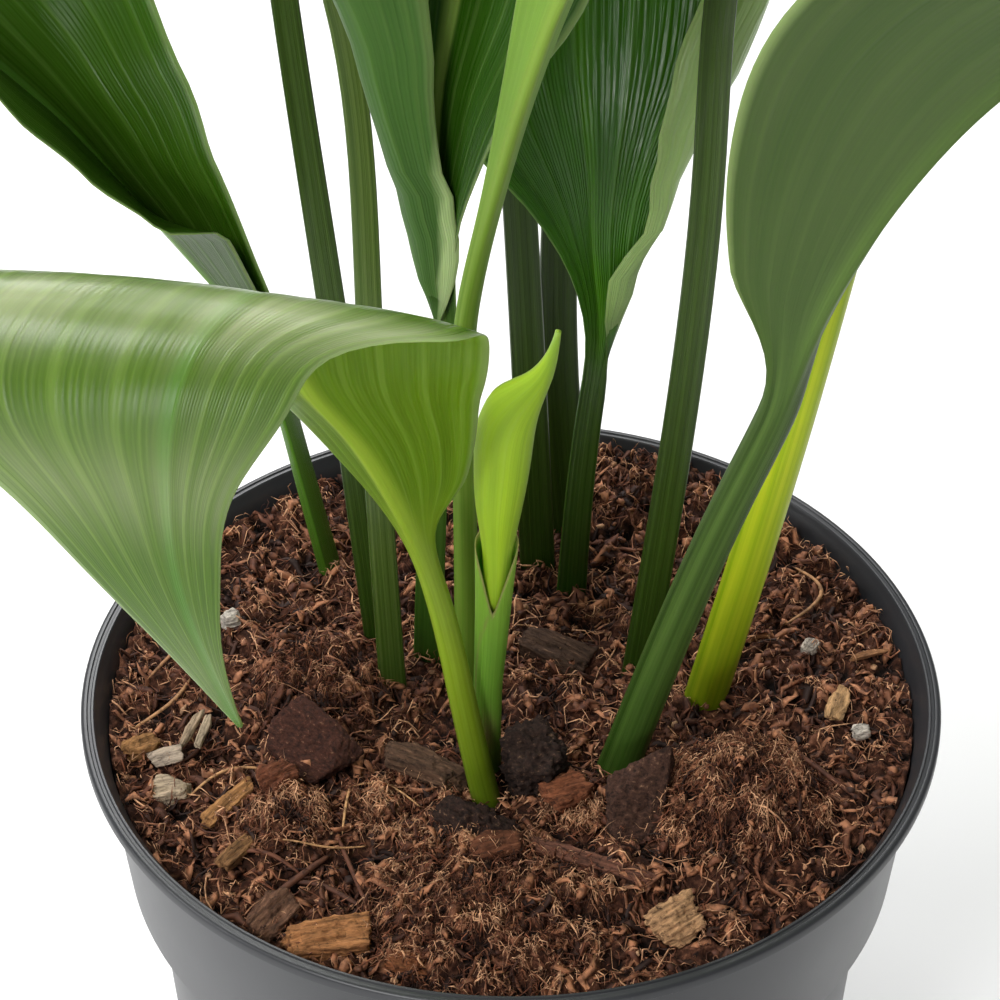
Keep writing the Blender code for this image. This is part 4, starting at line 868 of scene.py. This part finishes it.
def turn(outline, steps):
    """Spin an outline of (radius, height) points a full turn about Z and merge its poles."""
    bm = bmesh.new()
    points = [bm.verts.new((r * MM, 0, z * MM)) for r, z in outline]
    edges = [bm.edges.new(pair) for pair in zip(points, points[1:])]
    bmesh.ops.spin(bm, geom=points + edges, cent=(0, 0, 0), axis=(0, 0, 1), angle=2 * math.pi, steps=steps,
                   use_merge=True)
    return sew(bm)


def ground(x, y):
    """Height of the soil's surface: banked up to the wall, most at the back, with mounds of the mix."""
    radius = np.hypot(x, y)
    bank = np.clip((radius - BANK_START) / BANK_WIDTH, 0, 1)
    z = SOIL_TOP + (BANK_RISE + BANK_LEAN * y / (BANK_START + BANK_WIDTH)) * bank**2
    for mound in MOUNDS:
        away = np.hypot(x - mound.x, y - mound.y) / mound.radius
        z = z + mound.height * np.exp(-away**2.6)
    return z


def clumps(x, y):
    """Clumps of the mix, about 6 and 3 mm across, as a height over the ground."""
    place = Vector((x, y, 0))
    coarse = COARSE_CLUMP * noise.noise(place * 0.16)
    return coarse + FINE_CLUMP * noise.noise(place * 0.38 + Vector((9, 4, 0)))


def crumbs(x, y):
    """Crumbs of the mix, about 1 mm across, as a height over the clumps."""
    place = Vector((x, y, 7))
    return 0.8 * noise.noise(place * 0.8) + 0.4 * noise.noise(place * 1.5)


def draped(x, y):
    """Heights of the clumped soil at arrays of places."""
    lumpy = np.reshape([clumps(a, b) for a, b in zip(x.ravel(), y.ravel())], x.shape)
    return ground(x, y) + lumpy


def soil_bmesh(steps):
    """The mix: a crumbly surface over the mounds, with walls and an underside inside the pot."""
    bm = bmesh.new()
    bmesh.ops.create_grid(bm, x_segments=steps, y_segments=steps, size=1.0)
    hollow = bm.verts.layers.float.new("hollow")
    for vertex in bm.verts:
        a, b = vertex.co.x, vertex.co.y
        x = SOIL_RADIUS * a * math.sqrt(1 - 0.5 * b * b)
        y = SOIL_RADIUS * b * math.sqrt(1 - 0.5 * a * a)
        relief = clumps(x, y) + crumbs(x, y)
        # Painted shade: the lower the clumps and crumbs lie, the darker the mix is painted.
        vertex[hollow] = min(DARKEST_HOLLOW_SHADE, max(0.0, 0.05 - HOLLOW_SHADE_PER_MM * relief))
        vertex.co = (x * MM, y * MM, (ground(x, y) + relief - SOIL_SINK) * MM)
    for radius, height in reversed(pot_inside()[:3]):
        rim = [e for e in bm.edges if e.is_boundary]
        grown = bmesh.ops.extrude_edge_only(bm, edges=rim)["geom"]
        for vertex in (v for v in grown if isinstance(v, bmesh.types.BMVert)):
            flat = Vector((vertex.co.x, vertex.co.y)).normalized() * (radius - WALL_GAP) * MM
            vertex.co = (flat.x, flat.y, (height + WALL_GAP) * MM)
            # The sides of the mix are painted half in shade.
            vertex[hollow] = 0.5
    bmesh.ops.holes_fill(bm, edges=[e for e in bm.edges if e.is_boundary], sides=0)
    bmesh.ops.recalc_face_normals(bm, faces=bm.faces)
    return bm


def strands_bmesh(paths, radii, flatness, tones, sides, uprights):
    """Closed tapered strands: paths are strand by row by place, with a radius and a tone for each row.

    One grid makes them all; the faces between one strand and the next are taken out, and the end rows
    shrink to points, which closes the ends.
    """
    count, rows = paths.shape[:2]
    tangent = unit(np.gradient(paths, axis=1) + 1e-9)
    side = unit(np.cross(tangent, uprights[:, None, :]) + 1e-9)
    up = np.cross(side, tangent)
    angle = 2 * np.pi * np.arange(sides + 1) / sides
    rings = (paths[:, :, None, :]
             + (radii[:, :, None] * np.cos(angle))[..., None] * side[:, :, None, :]
             + (radii[:, :, None] * np.sin(angle) * flatness[:, None, None])[..., None] * up[:, :, None, :])
    rings[:, :, -1] = rings[:, :, 0]
    places = rings.reshape(count * rows, sides + 1, 3) * MM
    row_tones = tones.reshape(count * rows)
    bm = bmesh.new()
    bmesh.ops.create_grid(bm, x_segments=sides, y_segments=count * rows - 1, size=0.5)
    tone = bm.verts.layers.float.new("tone")
    row_of = {}
    for vertex in bm.verts:
        row = round((vertex.co.y + 0.5) * (count * rows - 1))
        column = round((vertex.co.x + 0.5) * sides)
        row_of[vertex] = row
        vertex.co = places[row, column]
        vertex[tone] = row_tones[row]
    between = [f for f in bm.faces if len({row_of[v] // rows for v in f.verts}) > 1]
    bmesh.ops.delete(bm, geom=between, context="FACES_ONLY")
    loose = [e for e in bm.edges if not e.link_faces]
    bmesh.ops.delete(bm, geom=loose, context="EDGES")
    return sew(bm, 0.0001)


def taper(rows, sharpness):
    """Share of the full radius at each row of a strand: points at both ends."""
    place = np.linspace(-1, 1, rows)
    return np.clip(1 - place**2, 0, 1) ** sharpness


def spread(rng, count, x, y, radius):
    """Places spread evenly over a round patch of the soil."""
    reach = radius * np.sqrt(rng.uniform(0, 1, count))
    angle = rng.uniform(0, 2 * np.pi, count)
    return np.stack((x + reach * np.cos(angle), y + reach * np.sin(angle)), 1)


def curly_paths(rng, centres, rows, lengths, bend, lift, pitch):
    """Curled paths through the centres that lie on the soil, raised by up to lift and pitched up or down."""
    count = len(centres)
    heading = rng.uniform(0, 2 * np.pi, count)
    turn_rate = rng.normal(0, bend, count)
    wobble = rng.normal(0, bend, count)
    place = np.linspace(-0.5, 0.5, rows)
    angle = (heading[:, None] + turn_rate[:, None] * place
             + wobble[:, None] * np.sin(2.2 * np.pi * place + rng.uniform(0, 6, count)[:, None]))
    step = lengths[:, None] / (rows - 1)
    x = np.cumsum(np.cos(angle) * step, axis=1)
    y = np.cumsum(np.sin(angle) * step, axis=1)
    x += centres[:, :1] - x.mean(1)[:, None]
    y += centres[:, 1:2] - y.mean(1)[:, None]
    inside = np.minimum(1, FIBRE_REACH / np.maximum(np.hypot(x, y), 1e-6))
    x, y = x * inside, y * inside
    height = rng.uniform(-0.7, 1.0, count)[:, None] * lift
    arch = rng.uniform(-0.3, 1.2, count)[:, None] * lift * np.cos(np.pi * place) ** 2
    lean = rng.normal(0, pitch, count)[:, None] * place * lengths[:, None]
    return np.stack((x, y, draped(x, y) + height + arch + lean), 2)


def broken_faces(seed):
    """Facings and distances of a broken block's flat faces, in units of its half sizes."""
    rng = np.random.default_rng(seed)
    facings = rng.normal(0, 1, (BREAKS, 3))
    distances = rng.uniform(0.96, 1.22, BREAKS)
    for i in range(6):
        facings[i] = rng.normal(0, 0.17, 3)
        facings[i][i // 2] = 1 if i % 2 else -1
        distances[i] = rng.uniform(0.9, 0.98)
    return unit(facings), distances


def bark_bmesh(piece, cuts, along):
    """A chipped, layered block of bark with flat broken faces, torn ends and its grain coordinates."""
    bm = bmesh.new()
    bmesh.ops.create_icosphere(bm, subdivisions=cuts, radius=1.0)
    grain = bm.verts.layers.float_vector.new("grain")
    half = Vector((piece.length, piece.width, piece.thickness)) * 0.5
    shift = Vector((piece.seed * 7.3, 0, 0))
    facings, distances = broken_faces(piece.seed)
    depth = piece.rough * min(1.0, 0.3 + 0.2 * min(half))
    for vertex in bm.verts:
        outward = Vector(vertex.co)
        toward = facings @ np.array(outward)
        reach = min(distances[toward > 0.05] / toward[toward > 0.05])
        place = Vector([c * reach * h for c, h in zip(outward, half)])
        # Noise drawn out along the grain gives layers and ridges, the rest pits and torn ends.
        layers = noise.noise(Vector((place.x * 0.8 * along, place.y * 0.8, place.z * 1.5)) + shift)
        ridges = noise.noise(Vector((place.x * 1.6 * along, place.y * 2.1, place.z * 2.4)) + shift)
        pits = noise.noise(place * 0.9 + shift)
        torn = noise.noise(Vector((0, place.y * 1.8, place.z * 1.8)) + shift) * abs(outward.x)**3
        place += outward * (0.8 * layers + 0.45 * ridges + 0.6 * pits) * depth
        place.x += math.copysign(1.6 * torn * depth, outward.x)
        vertex[grain] = place * MM
        vertex.co = place
    turned = (Matrix.Rotation(math.radians(piece.yaw), 4, "Z")
              @ Matrix.Rotation(math.radians(piece.tilt_y), 4, "Y")
              @ Matrix.Rotation(math.radians(piece.tilt_x), 4, "X"))
    bmesh.ops.transform(bm, matrix=Matrix.Translation((piece.x, piece.y, piece.z)) @ turned, verts=bm.verts)
    bmesh.ops.scale(bm, vec=(MM, MM, MM), verts=bm.verts)
    return bm


# Settings


class PLANT_PG_settings(bpy.types.PropertyGroup):
    """Sizes and colours of the plant, its soil and its stage that a user would change."""
    pot_steps: bpy.props.IntProperty(
        name="Pot steps", description="Steps around the pot", default=192, min=24)
    blade_stations: bpy.props.IntProperty(
        name="Blade stations", description="Rings along each leaf", default=130, min=24)
    blade_points: bpy.props.IntProperty(
        name="Blade points", description="Points across each face of a leaf", default=33, min=7)
    pleat_depth: bpy.props.FloatProperty(
        name="Pleat depth", description="Depth of a leaf's long pleats, in millimetres", default=0.14)
    soil_steps: bpy.props.IntProperty(
        name="Soil steps", description="Steps across the soil's surface", default=290, min=40)
    fuzz_count: bpy.props.IntProperty(
        name="Fuzz", description="Fine short fibres on the mounds", default=15000, min=10)
    strand_count: bpy.props.IntProperty(
        name="Strands", description="Loose strands of coir", default=3600, min=10)
    shred_count: bpy.props.IntProperty(
        name="Shreds", description="Flat shreds of coir", default=2400, min=10)
    crumb_count: bpy.props.IntProperty(
        name="Crumbs", description="Small crumbs of bark on the mix", default=1800, min=10)
    floor_colour: bpy.props.FloatVectorProperty(
        name="Floor", description="Colour of the pale floor", subtype="COLOR", size=4,
        default=linear("F4F4F4"))
    floor_size: bpy.props.FloatProperty(
        name="Floor size", description="Width of the floor", unit="LENGTH", default=6.0)


def settings():
    return bpy.context.scene.plant_settings


# Pieces


class PLANT_OT_pot(bpy.types.Operator):
    """Build the moulded nursery pot with its grooved rim, stepped wall, foot ring and drain holes"""
    bl_idname = "plant.pot"
    bl_label = "Pot"

    def execute(self, context):
        step = POT_HEIGHT - BAND_DEPTH
        lip = POT_HEIGHT - LIP_HEIGHT
        # Corners of the outside from the grooved rim down and under, as offsets from a radius and a height.
        outside = (
            (RIM_RADIUS - FLANGE_WIDTH, POT_HEIGHT, (
                (-0.9, -1.8), (-0.3, -0.8), (-0.1, -0.25), (0.15, 0), (0.55, 0), (0.8, -0.35), (1.35, -0.4),
                (1.6, -0.05))),
            (RIM_RADIUS, POT_HEIGHT, ((-0.8, 0), (-0.3, -0.2), (0, -0.7))),
            (RIM_RADIUS, lip, ((0, 0.5), (-0.4, 0))),
            (BAND_TOP_RADIUS, lip, ((1.1, 0), (1.0, -0.9), (0.7, -1.2), (0, -1.4))),
            (BAND_FOOT_RADIUS, step, ((0, 0.9), (-0.25, 0.3), (-0.9, 0))),
            (LOWER_TOP_RADIUS, step, ((0.4, 0), (0, -0.4))),
            (BASE_RADIUS, 0, ((1, 6), (0.5, 3), (-0.4, 1.1), (-2, 0))),
            (CHANNEL_OUTER_RADIUS, 0, ((2, 0), (0, CHANNEL_RISE))),
            (DISC_RADIUS, 0, ((2, CHANNEL_RISE), (0, 0))),
            (0, 0, ((0, 0),)),
        )
        outline = [(0, FLOOR_TOP), (BASE_RADIUS - POT_WALL - 3, FLOOR_TOP),
                   (BASE_RADIUS - POT_WALL - 0.5, FLOOR_TOP + 1.5)]
        outline += pot_inside()[1:]
        outline += [(radius + out, height + up) for radius, height, corners in outside for out, up in corners]
        bm = turn(outline, settings().pot_steps)
        pot = finish_mesh("nursery_pot", bm, pot_material(), ("pot",))
        self.drill(context, pot)
        pot.data.set_sharp_from_angle(angle=math.radians(SHARP_CORNER))
        return {"FINISHED"}

    def drill(self, context, pot):
        """Cut the drain holes and apply the cut."""
        bm = bmesh.new()
        # Half a side of turn keeps the cutters' corners off the edges of the pot's faces.
        half_side = Matrix.Rotation(math.pi / DRAIN_SIDES, 4, "Z")
        for i in range(DRAIN_HOLES):
            angle = 2 * math.pi * i / DRAIN_HOLES
            spot = Vector((math.cos(angle), math.sin(angle), 0)) * DRAIN_CIRCLE
            middle = Matrix.Translation((spot + Vector((0, 0, 0.5 * FLOOR_TOP))) * MM)
            bmesh.ops.create_cone(bm, cap_ends=True, segments=DRAIN_SIDES, radius1=DRAIN_RADIUS * MM,
                                  radius2=DRAIN_RADIUS * MM, depth=3 * FLOOR_TOP * MM,
                                  matrix=middle @ half_side)
        cutter = add_mesh("drain_cutters", bm)
        modifier = pot.modifiers.new("drains", "BOOLEAN")
        modifier.operation = "DIFFERENCE"
        modifier.solver = "EXACT"
        modifier.object = cutter
        context.view_layer.update()
        evaluated = pot.evaluated_get(context.evaluated_depsgraph_get())
        drilled = bpy.data.meshes.new_from_object(evaluated)
        pot.modifiers.clear()
        pot.data = drilled
        bpy.data.objects.remove(cutter, do_unlink=True)


class PLANT_OT_leaves(bpy.types.Operator):
    """Build the twelve leaves and the rolled young leaf, each one skin of stalk and blade"""
    bl_idname = "plant.leaves"
    bl_label = "Leaves"

    def execute(self, context):
        values = settings()
        for name, leaf in LEAVES.items():
            plain = name not in LOOKS
            colours, *finish = LOOKS.get(name, PLAIN_LOOK)
            look = Look(*colours.split(), *finish)
            stations = values.blade_stations - (PLAIN_STATIONS_LESS if plain else 0)
            points = values.blade_points - (PLAIN_POINTS_LESS if plain else 0)
            bm = leaf_bmesh(name, leaf, stations, points, look.pleat * values.pleat_depth)
            finish_mesh(name + "_skin", bm, leaf_material(name, look), (name,))
        return {"FINISHED"}


class PLANT_OT_sheath(bpy.types.Operator):
    """Build the papery sheath around the young leaf's stalk"""
    bl_idname = "plant.sheath"
    bl_label = "Sheath"

    def execute(self, context):
        bm = sheath_bmesh(SHEATH_STEPS, SHEATH_RINGS)
        finish_mesh("sprout_sheath_skin", bm, sheath_material(), ("sprout_sheath",))
        return {"FINISHED"}


class PLANT_OT_rootstocks(bpy.types.Operator):
    """Give the two buried rootstocks their skin"""
    bl_idname = "plant.rootstocks"
    bl_label = "Rootstocks"

    def execute(self, context):
        skin = rootstock_material()
        for name in ("rootstock_left", "rootstock_right"):
            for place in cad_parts[name].material_slots:
                place.material = skin
        return {"FINISHED"}


class PLANT_OT_soil(bpy.types.Operator):
    """Build the crumbly surface of the potting mix"""
    bl_idname = "plant.soil"
    bl_label = "Soil"

    def execute(self, context):
        bm = soil_bmesh(settings().soil_steps)
        finish_mesh("potting_mix", bm, mix_material(), ("soil",))
        return {"FINISHED"}


class PLANT_OT_fibres(bpy.types.Operator):
    """Lay the coir on the soil: fuzz on the mounds, loose strands, flat shreds and single long strands"""
    bl_idname = "plant.fibres"
    bl_label = "Coir fibres"

    def execute(self, context):
        values = settings()
        rng = np.random.default_rng(FIBRE_SEED)
        for fibre in FIBRES:
            count = getattr(values, fibre.count)
            patches = [spread(rng, round(count * f.share), f.x, f.y, f.spread) for f in fibre.clusters]
            tones = [rng.uniform(f.dull, f.bright, len(p)) for f, p in zip(fibre.clusters, patches)]
            self.lay(rng, fibre, np.concatenate(patches), np.concatenate(tones))
        self.lay_long_strands()
        return {"FINISHED"}

    def lay(self, rng, fibre, centres, tones):
        """Lay one family of fibres as one piece."""
        count = len(centres)
        middle, scatter = fibre.length
        lengths = middle * rng.lognormal(0, scatter, count)
        # Painted light and shade: fibres high on the clumps are painted paler, those low between them darker.
        tones = np.clip(tones + PAINTED_CLUMP_LIGHT * np.array([clumps(x, y) for x, y in centres]), 0, 1)
        paths = curly_paths(rng, centres, fibre.rows, lengths, fibre.bend, fibre.lift, fibre.pitch)
        radii = rng.uniform(*fibre.radius, count)[:, None] * taper(fibre.rows, 0.5)
        tones = tones[:, None] + np.abs(np.linspace(-1, 1, fibre.rows))**3 * PALE_TIPS
        uprights = rng.normal(0, 0.5, (count, 3)) + np.array((0, 0, 1.0))
        flatness = rng.uniform(*fibre.flatness, count)
        bm = strands_bmesh(paths, radii, flatness, tones, fibre.sides, uprights)
        finish_mesh(fibre.name, bm, coir_material(fibre.name, fibre.stops))

    def lay_long_strands(self):
        """Lay the long single strands that arch over the mix."""
        place = np.linspace(0, 2, STRAND_ROWS)
        flat = np.array([spline((0, 1, 2), (s.start, s.middle, s.end), place) for s in STRANDS])
        lift = np.array([[s.lift] for s in STRANDS]) * (0.35 + 0.65 * np.sin(0.5 * np.pi * place))
        z = ground(flat[..., 0], flat[..., 1]) + lift
        paths = np.concatenate((flat, z[..., None]), axis=2)
        radii = np.array([[s.radius] for s in STRANDS]) * taper(STRAND_ROWS, 0.25)
        tones = np.array([[s.tone] for s in STRANDS]) * np.ones(STRAND_ROWS)
        uprights = np.tile((0.1, 0.2, 1.0), (len(STRANDS), 1))
        flatness = np.full(len(STRANDS), STRAND_FLATNESS)
        bm = strands_bmesh(paths, radii, flatness, tones, STRAND_SIDES, uprights)
        finish_mesh("coir_long_strands", bm, coir_material("coir_long_strands", STRAND_TONES))


class PLANT_OT_bark(bpy.types.Operator):
    """Build the loose pieces of bark, cork and wood, and scatter small crumbs"""
    bl_idname = "plant.bark"
    bl_label = "Bark and wood"

    def execute(self, context):
        for name, piece in BARK.items():
            bm = bark_bmesh(piece, BARK_CUTS, CRUMBLY_RUN if name in CRUMBLY else LAYERED_RUN)
            finish_mesh(name + "_rough", bm, bark_material(name, piece), (name,))
        for name, piece in CHIPS.items():
            bm = bark_bmesh(piece, CHIP_CUTS, LAYERED_RUN)
            finish_mesh(name, bm, bark_material(name, piece))
        self.scatter_crumbs(settings().crumb_count)
        return {"FINISHED"}

    def scatter_crumbs(self, count):
        """Scatter small angular crumbs over the mix as one piece."""
        rng = np.random.default_rng(CRUMB_SEED)
        places = spread(rng, count, 0, 0, CRUMB_SCATTER_RADIUS)
        heights = draped(places[:, 0], places[:, 1])
        bm = bmesh.new()
        tone = bm.verts.layers.float.new("tone")
        for (x, y), z in zip(places, heights):
            size = rng.lognormal(-0.35, 0.35, 3) * (1, 1, 0.7)
            turned = Matrix.Rotation(rng.uniform(0, 6), 4, "Z") @ Matrix.Rotation(rng.normal(0, 0.6), 4, "X")
            crumb = (Matrix.Translation((x, y, z + rng.uniform(-0.5, 0.6))) @ turned
                     @ Matrix.Diagonal((*size, 1.0)))
            made = bmesh.ops.create_icosphere(bm, subdivisions=1, radius=1.0, matrix=crumb)["verts"]
            shade = rng.uniform(0, 1)
            for vertex in made:
                vertex.co += Vector(rng.normal(0, 0.14, 3))
                vertex[tone] = shade
        bmesh.ops.scale(bm, vec=(MM, MM, MM), verts=bm.verts)
        finish_mesh("bark_crumbs", bm, coir_material("crumbs", CRUMB_TONES))


class PLANT_OT_stage(bpy.types.Operator):
    """Set the pale floor, the soft studio light and the camera"""
    bl_idname = "plant.stage"
    bl_label = "Stage"

    def execute(self, context):
        values = settings()
        bm = bmesh.new()
        bmesh.ops.create_grid(bm, x_segments=2, y_segments=2, size=0.5 * values.floor_size)
        floor = add_mesh("floor", bm)
        # Rolled studio paper: matt and evenly white, so that only soft shadows show on it.
        paper, _, shader = new_material("rolled_studio_paper", Roughness=0.9)
        shader.inputs["Base Color"].default_value = values.floor_colour
        floor.data.materials.append(paper)

        world = bpy.data.worlds.new("studio")
        world.use_nodes = True
        world.node_tree.nodes["Background"].inputs["Color"].default_value = (1.0, 1.0, 1.0, 1.0)
        world.node_tree.nodes["Background"].inputs["Strength"].default_value = WORLD_STRENGTH
        context.scene.world = world
        for softbox in SOFTBOXES:
            lamp = bpy.data.lights.new(softbox.name, "AREA")
            lamp.shape = "DISK"
            lamp.size = softbox.size
            lamp.energy = softbox.power
            item = add_item(softbox.name, lamp)
            item.location = softbox.place
            aim = Vector(softbox.target) - Vector(softbox.place)
            item.rotation_euler = aim.to_track_quat("-Z", "Y").to_euler()

        camera = bpy.data.cameras.new("camera")
        camera.sensor_width = CAMERA_SENSOR
        camera.lens = CAMERA_LENS
        camera.clip_start = CAMERA_CLIP_START
        viewer = add_item("camera", camera)
        viewer.location = CAMERA_PLACE
        viewer.rotation_euler = (math.radians(CAMERA_TILT), 0.0, 0.0)
        context.scene.camera = viewer
        context.scene.view_settings.view_transform = "Standard"
        return {"FINISHED"}


class PLANT_PT_panel(bpy.types.Panel):
    """The plant's pieces and settings"""
    bl_idname = "PLANT_PT_panel"
    bl_label = "Potted cast iron plant"
    bl_space_type = "VIEW_3D"
    bl_region_type = "UI"
    bl_category = "Plant"

    def draw(self, context):
        for operator in OPERATORS:
            self.layout.operator(operator.bl_idname)
        for name in PLANT_PG_settings.__annotations__:
            self.layout.prop(context.scene.plant_settings, name)


OPERATORS = (PLANT_OT_stage, PLANT_OT_pot, PLANT_OT_soil, PLANT_OT_fibres, PLANT_OT_bark, PLANT_OT_rootstocks,
             PLANT_OT_leaves, PLANT_OT_sheath)
CLASSES = (PLANT_PG_settings, *OPERATORS, PLANT_PT_panel)


def register():
    for kind in CLASSES:
        bpy.utils.register_class(kind)
    bpy.types.Scene.plant_settings = bpy.props.PointerProperty(type=PLANT_PG_settings)


def unregister():
    del bpy.types.Scene.plant_settings
    for kind in reversed(CLASSES):
        bpy.utils.unregister_class(kind)


def main():
    """Build every piece in order."""
    register()
    for name in ("Cube", "Light", "Camera"):
        if name in bpy.data.objects:
            bpy.data.objects.remove(bpy.data.objects[name], do_unlink=True)
    bpy.ops.plant.stage()
    bpy.ops.plant.pot()
    bpy.ops.plant.soil()
    bpy.ops.plant.fibres()
    bpy.ops.plant.bark()
    bpy.ops.plant.rootstocks()
    bpy.ops.plant.leaves()
    bpy.ops.plant.sheath()


if __name__ == "__main__":
    main()
